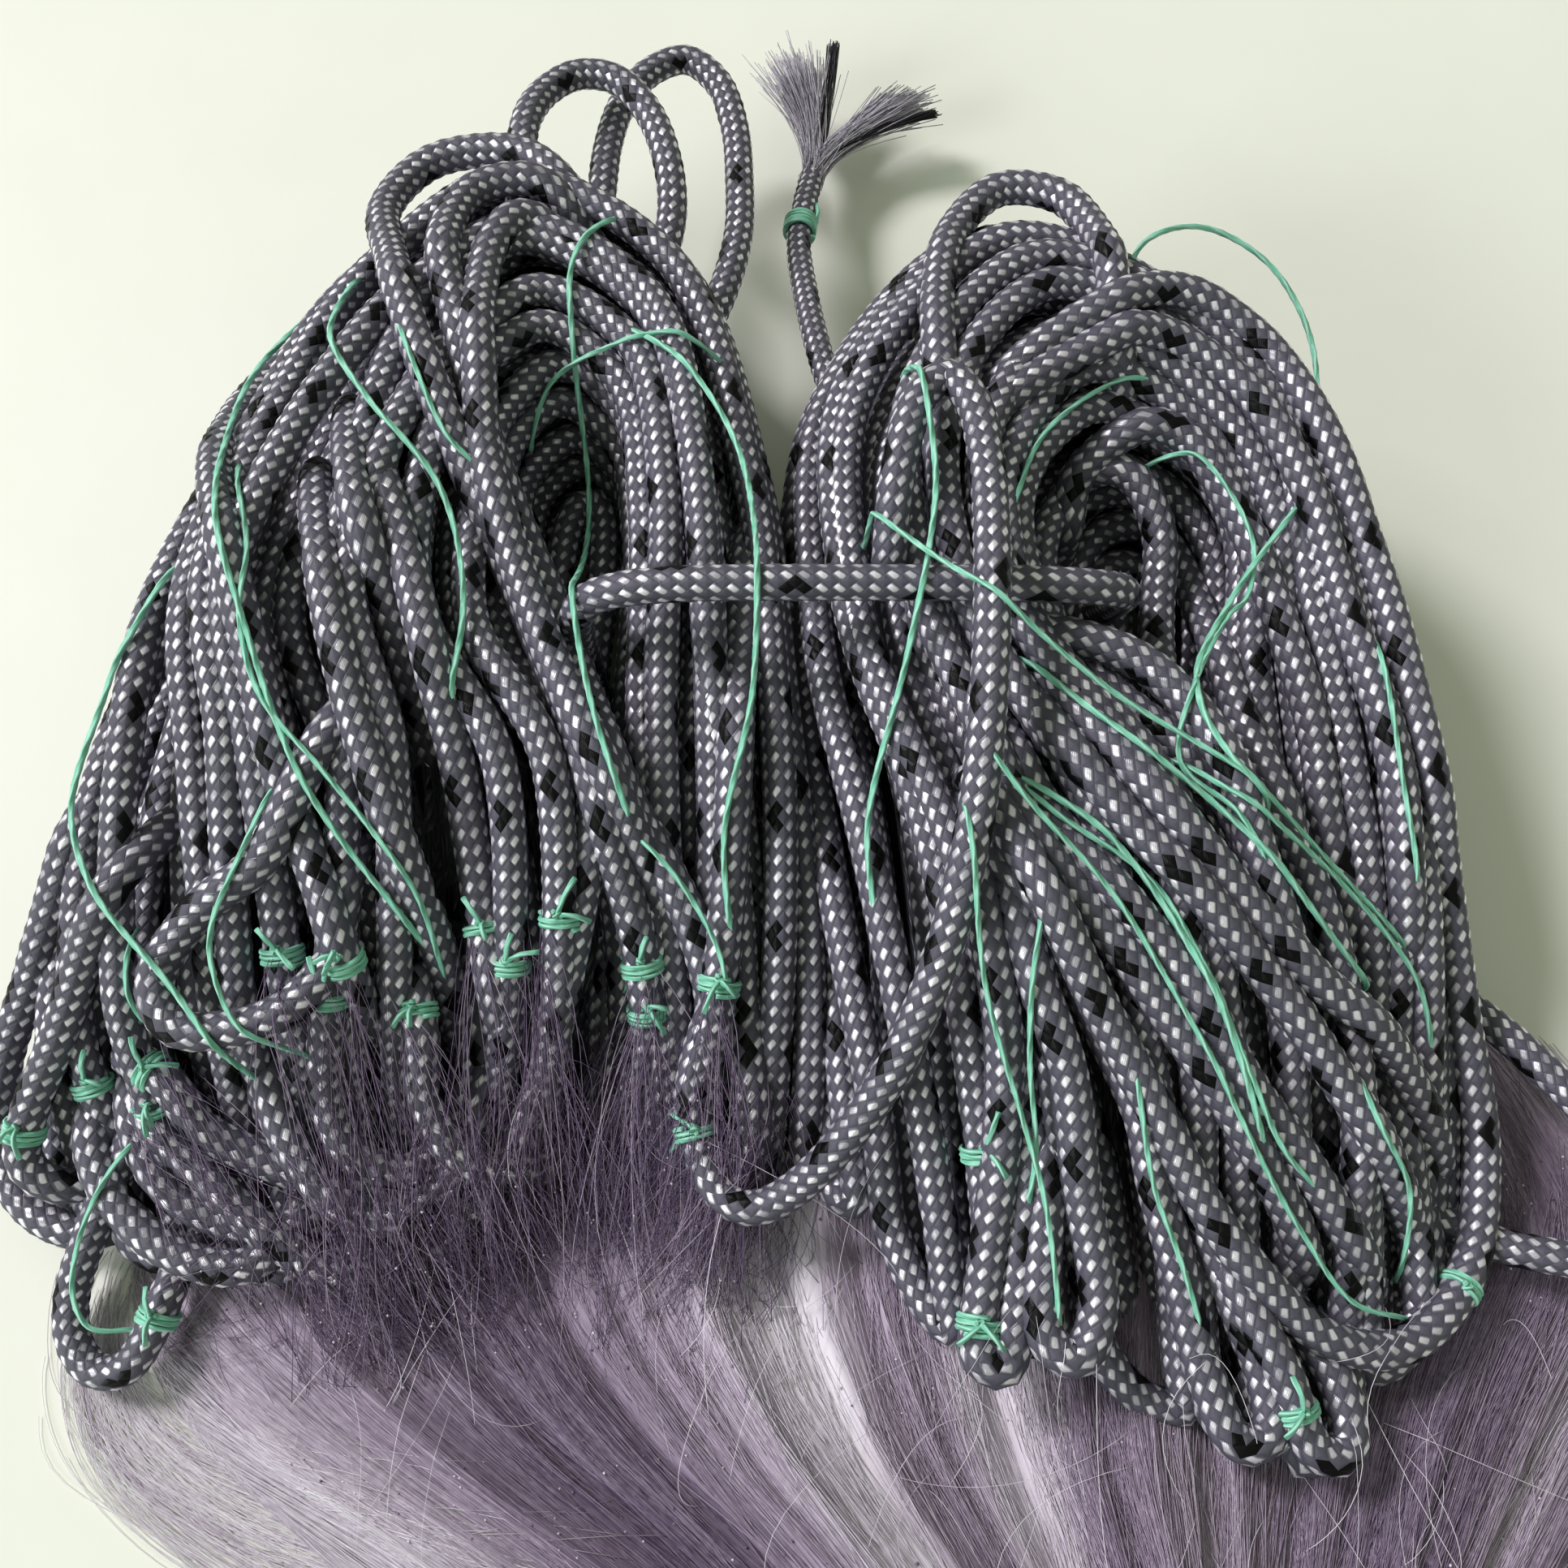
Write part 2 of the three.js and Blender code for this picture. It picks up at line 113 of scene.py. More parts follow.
frontOutline = [  # where the turns end in front
    (-124, -46), (-110, -50), (-104, -56), (-98, -61), (-88, -64), (-72, -65), (-60, -64), (-52, -62),
    (-46, -58), (-40, -54), (-34, -50), (-27, -47), (-20, -47), (-14, -51), (-6, -54), (6, -57),
    (15, -61), (20, -71), (25, -75), (30, -72), (37, -75), (44, -74), (51, -79), (57, -87), (64, -90),
    (71, -88), (77, -79), (85, -71), (94, -63), (102, -54), (124, -46),
]
hankSet = {
    "roundness": 0.72,  # 1 is an elliptic section, less is fuller
    "profileSteps": 96,
    "slopeStep": 0.02,  # angle over which the section's slope is taken
    "rowSpacing": 10,
    "samplesAlong": 120,
    "frontSamples": 300,
    "layers": {  # sink under the lobe's surface, turns across, share of the first turn's place
        "left": (0.0, 17, 0.5),
        "leftUnder": (7.5, 16, 0.62),
        "right": (0.0, 17, 0.5),
        "rightUnder": (7.5, 16, 0.38),
    },
    "wander": 0.42,  # of a turn sideways, in its own spacing
    "heave": 1.2,  # of a turn up and down
    "waves": (0.7, 1.6, 3.1),  # that make up both, in a run
    "waveSize": 1.6,  # of their sum
    "sideRoom": 0.012,  # least share across from a lobe's foot
    "frontRoom": 2.5,  # from the front outline to where a turn bends back
    "raggedFront": 5,  # how far the front ends differ
    "sinkBack": 0.5,  # how much further back a deeper layer ends
    "endSpan": 3,  # samples that give a turn's direction at its end
    "bightReach": 0.55,  # of the bend that joins two turns, in their distance
    "bightShoulder": 0.6,
    "foldSamples": 3,
}
overTurns = {  # plan of single turns that lie over the lobes, the lowest first
    "leftRim": [(-96, 4), (-101, -9), (-106, -21), (-112, -33), (-113, -44), (-108, -53), (-100, -57),
                (-91, -55)],
    "leftEdge": [(-84, 0), (-88, -11), (-94, -21), (-99, -31), (-105, -42), (-106, -48), (-102, -51),
                 (-95, -49)],
    "frontCross": [(-92, -34), (-85, -38), (-80, -44), (-72, -48), (-63, -51), (-55, -53), (-48, -51)],
    "frontLow": [(-92, -36), (-90, -44), (-86, -51), (-80, -55), (-72, -57), (-64, -55)],
    "frontLoop": [(-58, -8), (-59, -18), (-61, -31), (-62, -40), (-59, -47), (-52, -50), (-46, -45),
                  (-44, -36), (-43, -26)],
    "frontRim": [(-92, -38), (-86, -45), (-79, -51), (-69, -59), (-61, -63), (-52, -61), (-44, -56),
                 (-37, -47), (-33, -36)],
    "frontRimTwo": [(-72, -34), (-68, -45), (-62, -53), (-54, -56), (-47, -52), (-43, -44), (-41, -34)],
    "frontRimThree": [(-98, -38), (-96, -48), (-90, -56), (-82, -61), (-74, -62), (-67, -57)],
    "frontMiddle": [(-51, -24), (-49, -34), (-49, -40), (-45, -47), (-39, -50), (-32, -48), (-28, -40)],
    "archOuter": [(-30, 92), (-42, 104), (-55, 103), (-61, 92), (-57, 76), (-50, 56), (-43, 40),
                  (-37, 27), (-27, 3), (-23, -10), (-20, -20), (-18, -36)],
    "archMiddle": [(-27, 86), (-38, 95), (-47, 92), (-50, 80), (-46, 63), (-42, 48), (-38, 38),
                   (-33, 27), (-21, -3), (-13, -17), (-10, -26), (-9, -38)],
    "archInner": [(-31, 84), (-39, 88), (-43, 82), (-44, 70), (-43, 58), (-42, 46), (-38, 32),
                  (-30, 12), (-22, -4), (-16, -16)],
    "leftRun": [(-62, 54), (-58, 36), (-53, 20), (-50, 8), (-47, -4), (-45, -16), (-43, -27), (-41, -38)],
    "leftRunTwo": [(-57, 44), (-51, 28), (-47, 14), (-44, 2), (-42, -10), (-40, -22), (-38, -34)],
    "leftRunThree": [(-66, 44), (-62, 28), (-58, 12), (-54, -1), (-50, -12), (-47, -22), (-46, -32)],
    "shoulder": [(-66, 90), (-79, 66), (-80, 46), (-75, 30), (-70, 12), (-66, -3), (-60, -18),
                 (-56, -32)],
    "turnBack": [(-58, 8), (-62, 0), (-68, -12), (-78, -19), (-83, -27), (-80, -33), (-71, -33),
                 (-64, -30), (-58, -22)],
    "middleTurn": [(-5, 40), (-6, 22), (-7, -4), (-9, -28), (-12, -43), (-8, -53), (-4, -45), (-5, -34),
                   (-4, -24)],
    "topArch": [(21, 40), (22, 54), (22, 68), (25, 84), (33, 94), (42, 92), (47, 80), (48, 66), (50, 56)],
    "eyeArc": [(43, 26), (44, 38), (49, 46), (56, 46), (60, 38), (62, 26), (64, 12), (67, 0), (70, -12)],
    "innerArc": [(42, 41), (43, 48), (51, 53), (58, 52), (65, 41), (70, 24), (74, 8), (75, -3),
                 (80, -22)],
    "middleArc": [(27, 51), (41, 60), (53, 65), (65, 59), (74, 44), (79, 24), (84, 3), (85, -14),
                  (87, -27)],
    "fanFirst": [(22, 0), (24, -12), (26, -23), (28, -35), (28, -47), (26, -63), (25, -74), (28, -75),
                 (30, -66), (31, -54), (31, -42)],
    "fanSecond": [(26, -6), (29, -18), (32, -29), (36, -39), (38, -53), (40, -68), (37, -74), (33, -71),
                  (33, -63), (34, -54), (35, -44)],
    "fanThird": [(24, 0), (26, -11), (34, -21), (40, -32), (46, -44), (48, -53), (51, -63), (54, -75),
                 (58, -84), (62, -83), (62, -76), (59, -68), (55, -58), (50, -48)],
    "fanFourth": [(54, -56), (59, -66), (64, -76), (68, -85), (72, -85), (72, -77), (68, -69), (63, -60)],
    "fanFifth": [(27, 2), (29, -6), (32, -12), (40, -21), (47, -30), (54, -39), (60, -47), (66, -56),
                 (70, -64)],
    "fanSixth": [(28, 8), (32, -4), (37, -12), (45, -21), (52, -29), (59, -40), (67, -49), (74, -58),
                 (80, -66)],
    "fanSeventh": [(30, 12), (37, 0), (44, -9), (51, -16), (59, -24), (67, -33), (74, -42), (81, -51),
                   (87, -60)],
    "fanEighth": [(33, 14), (42, 1), (52, -11), (61, -20), (70, -28), (80, -34), (88, -43), (93, -52)],
    "eyeSide": [(44, 50), (51, 48), (55, 40), (54, 28), (53, 18), (54, 8), (58, -2), (63, -14)],
    "eyeLip": [(32, 19), (40, 17), (47, 14), (53, 8), (58, -2), (62, -14), (67, -26)],
    "rimArc": [(28, 55), (43, 66), (57, 72), (69, 66), (77, 52), (84, 31), (88, 9), (91, -7), (95, -29),
               (97, -46), (93, -62), (82, -72), (72, -72), (63, -66), (55, -57), (46, -42), (36, -25),
               (29, -12), (24, 0)],
}
eyeTurns = [  # deep in the two eyes
    [(-33, 6, 14), (-34, 20, 18), (-34.5, 40, 20), (-33, 50, 20), (-30.5, 53, 20), (-28.5, 50, 20),
     (-28, 38, 20), (-29, 22, 18), (-29.5, 6, 14)],
    [(47, 0, 14), (46.5, 20, 18), (46.5, 34, 20), (50, 41, 20), (55, 41, 20), (57, 34, 20),
     (56, 18, 18), (55, 0, 14)],
    [(51, -4, 12), (51, 14, 15), (51.5, 30, 16), (52, 37, 16)],
]
overSet = {  # how turns settle over others, and hide their ends
    "give": 2.0,  # how far they sink in
    "step": 1.5,
    "sag": 0.02,
    "dive": 8,
    "diveOver": 7,
    "lowest": line["dia"] / 2,  # that the centre line may lie
}
tieRing = {
    "eyes": (-29, 47.5),
    "y": 22,
    "top": 52,
    "low": 2.9,
    "squareness": 0.4,
    "points": 48,
    "samples": 900,
    "leanBack": 0.35,
    "leanFrom": 0.75,  # share across where it begins to lean
}
bightRoutes = {
    "top_bight_inner": [
        (-41, 92, 36), (-41.5, 104, 37), (-41.5, 113, 36), (-39, 121, 34), (-34, 126, 32.5),
        (-28, 125.5, 32), (-22.5, 119, 32), (-19, 109, 32), (-18, 99, 31), (-20, 88, 30),
    ],
    "top_bight_outer": [
        (-30, 94, 27), (-30, 106, 27), (-29.5, 118, 25.5), (-27.5, 128, 24), (-23, 136, 23),
        (-17, 139, 22.5), (-11.5, 134, 22.5), (-8.5, 124, 23), (-7.5, 112, 23.5), (-7.5, 101, 24),
        (-9.5, 90, 25), (-13, 79, 26),
    ],
    "front_bight": [
        (14, 24, 47), (14.5, 32, 53), (16, 41, 55.5), (18.5, 48, 56), (22, 51, 56), (25, 47, 57),
        (26.5, 37, 58), (26.5, 22, 59), (25.5, 4, 57), (23.5, -12, 52.5), (19.5, -27, 45), (14, -39, 37),
        (7, -48, 29), (1, -53, 23), (-4, -55, 21), (-8.5, -53, 20), (-11.5, -47, 20), (-12.5, -40, 21.5),
        (-11, -33, 24), (-8, -26, 27),
    ],
    "left_bight": [
        (-87, -37, 14), (-92.5, -47, 12), (-97.5, -58, 8), (-100, -66, 5), (-99, -72, 4),
        (-95.5, -75.5, 4), (-91, -75, 5), (-87.5, -70.5, 7), (-85, -64, 8), (-82, -56, 8), (-78, -46, 8),
    ],
    "right_bight": [
        (94, -22, 12), (102, -29, 13), (109, -37, 14), (115, -45, 14.5), (119, -52, 14.5),
        (118, -59, 14.5), (113, -62, 14.5), (106, -61, 14), (98, -59, 12), (90, -55, 10),
    ],
}
tailRoute = [
    (10, 64, 24), (7, 74, 22), (5, 84, 20), (3.5, 95, 17), (2.5, 106, 14.5), (3.5, 116, 12.5),
    (5, 124, 10.5),
]

curveSet = {"samples": 24, "step": 1.0}  # samples to a point of a route, and mm between those kept


def curveAt(points, shares):  # the same centripetal curve that the solids follow
    pts = np.asarray(points, float)
    last = len(pts) - 1
    reach = np.vstack([2 * pts[0] - pts[1], pts, 2 * pts[-1] - pts[-2]])
    place = np.clip(np.asarray(shares, float), 0, 1) * last
    step = np.minimum(place.astype(int), last - 1)
    w = (place - step)[:, None]
    p0, p1, p2, p3 = (reach[step + i] for i in range(4))
    gaps = [np.linalg.norm(b - a, axis=1)[:, None] for a, b in ((p0, p1), (p1, p2), (p2, p3))]
    d0, d1, d2 = (np.maximum(gap, tiny) ** 0.5 for gap in gaps)
    out = ((p1 - p0) / d0 - (p2 - p0) / (d0 + d1) + (p2 - p1) / d1) * d1
    into = ((p2 - p1) / d1 - (p3 - p1) / (d1 + d2) + (p3 - p2) / d2) * d1
    return p1 + out * w + (3 * (p2 - p1) - 2 * out - into) * w**2 + (2 * (p1 - p2) + out + into) * w**3


def runLength(path):
    return np.concatenate([[0], np.cumsum(np.linalg.norm(np.diff(path, axis=0), axis=1))])


def resampled(path, count):  # a path in so many equal steps
    lengths = runLength(path)
    wanted = np.linspace(0, lengths[-1], count + 1)
    return np.stack([np.interp(wanted, lengths, path[:, i]) for i in range(path.shape[1])], axis=1)


def spaced(path, step=curveSet["step"]):  # a path in steps of about this length
    return resampled(path, max(int(round(runLength(path)[-1] / step)), 2))


def smoothCurve(points, step=curveSet["step"]):
    return spaced(curveAt(points, np.linspace(0, 1, curveSet["samples"] * len(points))), step)


# A lobe's surface: a hump between two feet, with the turns evenly round its arc
humpAngles = np.linspace(0, math.pi, hankSet["profileSteps"] + 1)


def humpProfile(angle):
    side = np.cos(angle)
    across = (1 - np.sign(side) * np.abs(side) ** hankSet["roundness"]) / 2
    return across, np.maximum(np.sin(angle), 0) ** hankSet["roundness"]


def lobePoints(lobe, along, across, sink):
    outer = curveAt([(*row[0], 0) for row in lobe], along)
    inner = curveAt([(*row[1], 0) for row in lobe], along)
    rise = curveAt([(row[2], row[3], hankSet["rowSpacing"] * i) for i, row in enumerate(lobe)], along)
    crest, bow = rise[:, 0], rise[:, 1]
    width = np.linalg.norm(inner - outer, axis=1)
    acrossTable, upTable = humpProfile(humpAngles)
    pieces = np.hypot(np.diff(acrossTable) * width[:, None], np.diff(upTable) * crest[:, None])
    lengths = np.concatenate([np.zeros((len(width), 1)), np.cumsum(pieces, axis=1)], axis=1)
    angle = np.array([np.interp(c * l[-1], l, humpAngles) for c, l in zip(across, lengths)])
    here, up = humpProfile(angle)
    before, upBefore = humpProfile(np.maximum(angle - hankSet["slopeStep"], 0))
    after, upAfter = humpProfile(np.minimum(angle + hankSet["slopeStep"], math.pi))
    slope = np.arctan2((upAfter - upBefore) * crest, (after - before) * width)
    acrossDir = (inner - outer) / width[:, None]
    alongDir = np.stack([-acrossDir[:, 1], acrossDir[:, 0], np.zeros(len(width))], axis=1)
    points = outer + (inner - outer) * here[:, None] + alongDir * (bow * 4 * here * (1 - here))[:, None]
    points = points + acrossDir * (sink * np.sin(slope))[:, None]
    points[:, 2] = np.maximum(up * crest - sink * np.cos(slope), line["dia"] / 2)
    return points


def wave(count, size):  # a smooth random wave along a run
    t = np.linspace(0, 1, count)
    parts = []
    for number in hankSet["waves"]:
        high = chance.normal()
        parts.append(high * np.sin(2 * math.pi * (number * t + chance.random())) / number**0.5)
    return size * sum(parts) / hankSet["waveSize"]


frontLine = curveAt(frontOutline, np.linspace(0, 1, hankSet["frontSamples"]))


def frontAt(x):
    return np.interp(x, frontLine[:, 0], frontLine[:, 1])


def behindFront(run, room):  # the part of a run that lies behind the front outline
    kept = np.nonzero(run[:, 1] > frontAt(run[:, 0]) + room)[0]
    return run[kept[0]:kept[-1] + 1]


def foldedLine(lobe, sink, turns, first):  # one layer of a lobe, as the one line in it
    count, side, span = (hankSet[key] for key in ("samplesAlong", "sideRoom", "endSpan"))
    along = np.linspace(0, 1, count)
    spacing = 1 / turns
    path = []
    for k in range(turns):
        across = (k + first) * spacing + wave(count, hankSet["wander"] * spacing)
        deep = line["dia"] / 2 + sink + wave(count, hankSet["heave"])
        run = lobePoints(lobe, along, np.clip(across, side, 1 - side), deep)
        room = hankSet["frontRoom"] + hankSet["raggedFront"] * chance.random()
        run = behindFront(run, room + hankSet["sinkBack"] * sink)
        run = run if k % 2 == 0 else run[::-1]
        if path:  # the bight that joins this turn to the last one
            a, b = path[-1][-1], run[0]
            out = a - path[-1][-1 - span] + b - run[span]
            reach = max(np.linalg.norm(b - a), line["dia"]) * hankSet["bightReach"]
            out = out / np.linalg.norm(out) * reach
            shoulder = out * hankSet["bightShoulder"]
            path.append(np.array([a + shoulder, (a + b) / 2 + out, b + shoulder]))
        path.append(run)
    points = np.concatenate(path)
    points[:, 2] = np.maximum(points[:, 2], line["dia"] / 2)
    return spaced(curveAt(points, np.linspace(0, 1, hankSet["foldSamples"] * len(points))))


layers = {}
for name, (sink, turns, first) in hankSet["layers"].items():
    layers[name] = foldedLine(leftLobe if name.startswith("left") else rightLobe, sink, turns, first)
    print("layer", name, round(runLength(layers[name])[-1]), "mm of line")


# What already lies there, as points along the centre lines of turns
laid = [np.concatenate([*layers.values()])]
restSet = {"lookAround": 8, "rounds": 400}  # mm round a route that may carry it, rounds of settling


def restHeight(plan, radius, give=0.0):  # how high a line's centre lies at each place
    low, high = plan.min(axis=0) - restSet["lookAround"], plan.max(axis=0) + restSet["lookAround"]
    near = np.concatenate(laid)
    near = near[np.all((near[:, :2] > low) & (near[:, :2] < high), axis=1)]
    reach = line["dia"] / 2 + radius - give
    height = np.full(len(plan), radius)
    for i, place in enumerate(plan):
        gap = reach**2 - np.sum((near[:, :2] - place) ** 2, axis=1)
        hit = gap > 0
        if hit.any():
            height[i] = max(radius, np.max(near[hit, 2] + np.sqrt(gap[hit])))
    return height


def tautened(need, rounds, sag=0.0):  # never below what it needs, nearly straight between the high points
    height = need.copy()
    for _ in range(rounds):
        height[1:-1] = np.maximum(need[1:-1], (height[:-2] + height[2:]) / 2 - sag)
    return height


def drape(plan, radius, spec):  # laid over what is there, with both ends down between the turns
    route = smoothCurve(plan, spec["step"])
    height = tautened(restHeight(route, radius, spec["give"]), restSet["rounds"], spec["sag"])
    lengths = runLength(np.column_stack([route, height]))
    fromEnd = np.minimum(lengths, lengths[-1] - lengths)
    height = height - spec["dive"] * np.exp(-fromEnd / spec["diveOver"])
    return np.column_stack([route, np.maximum(height, spec["lowest"])])


overPaths = []
for plan in overTurns.values():
    overPaths.append(drape(plan, line["dia"] / 2, overSet))
    laid.append(spaced(overPaths[-1]))
print("turns over the lobes:", len(overPaths))


# Meshes: every tube is a closed mesh of triangles made from arrays
triangles = {}


def addPiece(name, points, faces, finish, uv=None, values=None, nodes=()):
    mesh = bpy.data.meshes.new(name)
    points = np.column_stack([points[:, :2], np.maximum(points[:, 2], 0)])
    mesh.from_pydata(points * mm, [], faces)
    triangles[name] = len(faces)
    if uv is not None:
        mesh.uv_layers.new(name="lay").data.foreach_set("uv", uv.astype(np.float32).ravel())
    for label, data in (values or {}).items():
        mesh.attributes.new(label, "FLOAT", "POINT").data.foreach_set("value", data.astype(np.float32))
    mesh.polygons.foreach_set("use_smooth", np.ones(len(faces), bool))
    mesh.materials.append(finish)
    piece = bpy.data.objects.new(name, mesh)
    bpy.context.scene.collection.objects.link(piece)
    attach(piece, "root")
    if nodes:
        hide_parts(*nodes)
    return piece


def turnFrames(path, closed=False):  # directions along and across a path, carried on without twist
    ahead = np.gradient(path, axis=0)
    if closed:
        ahead = np.roll(path, -1, axis=0) - np.roll(path, 1, axis=0)
    ahead = ahead / np.linalg.norm(ahead, axis=1, keepdims=True)
    side = np.zeros_like(path)
    aslant = (0.2, 0.1, 1)  # a direction that no path starts in
    first = np.cross(ahead[0], aslant)
    side[0] = first / np.linalg.norm(first)
    for i in range(1, len(path)):
        kept = side[i - 1] - ahead[i] * (side[i - 1] @ ahead[i])
        side[i] = kept / np.linalg.norm(kept)
    return ahead, side, np.cross(ahead, side)


def tubeFaces(rows, around, valley=None, closed=False):
    y, x = np.meshgrid(np.arange(rows if closed else rows - 1), np.arange(around), indexing="ij")
    x, y = x.ravel(), y.ravel()
    above = (y + 1) % rows
    a, b = y * around + x, y * around + (x + 1) % around
    c, d = above * around + (x + 1) % around, above * around + x
    flip = (np.zeros(len(x), bool) if valley is None else valley(x, y))[:, None]
    one = np.where(flip, np.stack([a, b, c], 1), np.stack([a, b, d], 1))
    two = np.where(flip, np.stack([a, c, d], 1), np.stack([b, c, d], 1))
    corners = np.stack([np.stack([x, y], 1), np.stack([x + 1, y], 1), np.stack([x + 1, y + 1], 1),
                        np.stack([x, y + 1], 1)], 1)  # before the seam closes, for the uv map
    flipped = flip[:, :, None]
    uvOne = np.where(flipped, corners[:, [0, 1, 2]], corners[:, [0, 1, 3]])
    uvTwo = np.where(flipped, corners[:, [0, 2, 3]], corners[:, [1, 2, 3]])
    return np.stack([one, two], 1).reshape(-1, 3), np.stack([uvOne, uvTwo], 1).reshape(-1, 3, 2)


def capped(points, faces, corners, rows, around):  # closes both ends with a fan
    start, end = len(points), len(points) + 1
    centres = np.stack([points[:around].mean(axis=0), points[-around:].mean(axis=0)])
    i = np.arange(around)
    j = (i + 1) % around
    top = (rows - 1) * around
    low = np.stack([np.full(around, start), j, i], 1)
    high = np.stack([np.full(around, end), top + i, top + j], 1)
    lowUv = np.stack([np.stack([i, i * 0], 1), np.stack([i + 1, i * 0], 1), np.stack([i, i * 0], 1)], 1)
    highUv = lowUv + np.array([0, rows - 1])
    return (np.concatenate([points, centres]), np.concatenate([faces, low, high]),
            np.concatenate([corners, lowUv, highUv]))


def pickHeight(x, y):  # how far a pick stands out, for a place in columns round and pitches along
    off = np.abs(x - np.round(x)) + np.abs(y - np.round(y))  # picks are diamonds, every other one turned
    middle = np.abs(1 - 2 * off)
    return np.sqrt(middle * (2 - middle))


def roundTube(route, radius, side, up):  # rings of points, with a radius for each row and column
    angle = np.arange(radius.shape[1]) / radius.shape[1] * 2 * math.pi
    ring = np.cos(angle)[:, None] * side[:, None] + np.sin(angle)[:, None] * up[:, None]
    return (route[:, None] + radius[..., None] * ring).reshape(-1, 3)


def braidTube(path, dia, closed=False):  # two points to a pick, each way
    around = 2 * line["columns"]
    pitch = line["pitch"] * dia / line["dia"]
    if closed:
        path = np.vstack([path, path[:1]])
    route = resampled(path, int(round(runLength(path)[-1] / pitch)) * 2)
    route = route[:-1] if closed else route
    _, side, up = turnFrames(route, closed)
    column, row = np.meshgrid(np.arange(around), np.arange(len(route)))
    points = roundTube(route, dia / 2 - line["relief"] * (1 - pickHeight(column / 2, row / 2)), side, up)
    faces, corners = tubeFaces(len(route), around, lambda x, y: (x + y) % 2 == 1, closed)
    if not closed:
        points, faces, corners = capped(points, faces, corners, len(route), around)
    return points, faces, corners / 2, route


underSet = {"around": 8, "step": 2.5, "share": 0.96}  # sides, mm a step, share of the line's diameter


def plainTube(path, dia):  # a smooth tube with the braid's uv, for turns that hardly show
    around, step = underSet["around"], underSet["step"]
    route = spaced(path, step)
    _, side, up = turnFrames(route)
    points = roundTube(route, np.full((len(route), around), dia / 2), side, up)
    faces, corners = tubeFaces(len(route), around)
    points, faces, corners = capped(points, faces, corners, len(route), around)
    return points, faces, corners * (line["columns"] / around, step / line["pitch"]), route


def addTubes(name, tubes, finish, nodes=()):  # several closed meshes as one piece
    shifts = np.cumsum([0] + [len(tube[0]) for tube in tubes])
    points = np.concatenate([tube[0] for tube in tubes])
    faces = np.concatenate([tube[1] + shift for tube, shift in zip(tubes, shifts)])
    uv = np.concatenate([tube[2] for tube in tubes])
    return addPiece(name, points, faces, finish, uv, nodes=nodes)


# Materials: Value wraps a socket so that shader maths reads as Python
class Value:
    def __init__(self, finish, socket):
        self.finish = finish
        self.socket = socket

    def math(self, operation, *others):
        sockets = dict(enumerate((self, *others)))
        return self.finish.node("ShaderNodeMath", {"operation": operation}, sockets)

    def __add__(self, other):
        return self.math("ADD", other)

    def __sub__(self, other):
        return self.math("SUBTRACT", other)

    def __rsub__(self, other):
        return self.finish.node("ShaderNodeMath", {"operation": "SUBTRACT"}, {0: other, 1: self})

    def __mul__(self, other):
        return self.math("MULTIPLY", other)

    def __pow__(self, other):
        return self.math("POWER", other)

    def __mod__(self, other):
        return self.math("FLOORED_MODULO", other)

    def __lt__(self, other):
        return self.math("LESS_THAN", other)

    def clamp(self):
        return self.math("MINIMUM", 1).math("MAXIMUM", 0)

    __radd__ = __add__
    __rmul__ = __mul__


class Finish:
    def __init__(self, name, **fixed):
        self.material = bpy.data.materials.new(name)
        self.material.use_nodes = True
        self.tree = self.material.node_tree
        self.shader = self.tree.nodes["Principled BSDF"]
        for label, value in fixed.items():
            self.shader.inputs[label].default_value = value

    def node(self, kind, settings=None, sockets=None, out=0):
        made = self.tree.nodes.new(kind)
        for label, value in (settings or {}).items():
            if label == "stops":
                ramp = made.color_ramp.elements
                while len(ramp) < len(value):
                    ramp.new(0.5)
                for stop, (place, shade) in zip(ramp, value):
                    stop.position = place
                    stop.color = (*shade, 1)
            else:
                setattr(made, label, value)
        for label, value in (sockets or {}).items():
            if isinstance(value, Value):
                self.tree.links.new(value.socket, made.inputs[label])
            else:
                made.inputs[label].default_value = value
        return Value(self, made.outputs[out])

    def set(self, label, value):
        self.tree.links.new(value.socket, self.shader.inputs[label])

    def uv(self):
        place = self.node("ShaderNodeUVMap", {"uv_map": "lay"})
        return [self.node("ShaderNodeSeparateXYZ", None, {0: place}, i) for i in range(2)]

    def pair(self, x, y):
        return self.node("ShaderNodeCombineXYZ", None, {0: x, 1: y})

    def noise(self, vector, scale, detail=2):
        return self.node("ShaderNodeTexNoise", None, {"Vector": vector, "Scale": scale, "Detail": detail})

    def attribute(self, label):
        return self.node("ShaderNodeAttribute", {"attribute_name": label}, None, 2)

    def mix(self, factor, a, b):
        return self.node("ShaderNodeMix", {"data_type": "RGBA"}, {0: factor, 6: a, 7: b}, 2)

    def ramp(self, shade, look):  # from the look's black through its grey to its pale
        stops = [(0.0, look["black"][:3]), (look["middle"], look["grey"][:3]), (1.0, look["pale"][:3])]
        return self.node("ShaderNodeValToRGB", {"stops": stops}, {0: shade})

    def whiteNoise(self, dimensions, label, value):
        settings = {"noise_dimensions": dimensions}
        return self.node("ShaderNodeTexWhiteNoise", settings, {label: value})

    def objectPlace(self):
        return self.node("ShaderNodeTexCoord", None, None, 3)

    def bump(self, height, distance):
        sockets = {"Height": height, "Distance": distance * mm, "Strength": 1.0}
        self.set("Normal", self.node("ShaderNodeBump", None, sockets))


def colour(*screen):  # as seen on the screen, 0 to 255
    shares = [c / 255 for c in screen]
    return tuple(((c + 0.055) / 1.055) ** 2.4 if c > 0.04 else c / 12.92 for c in shares) + (1,)


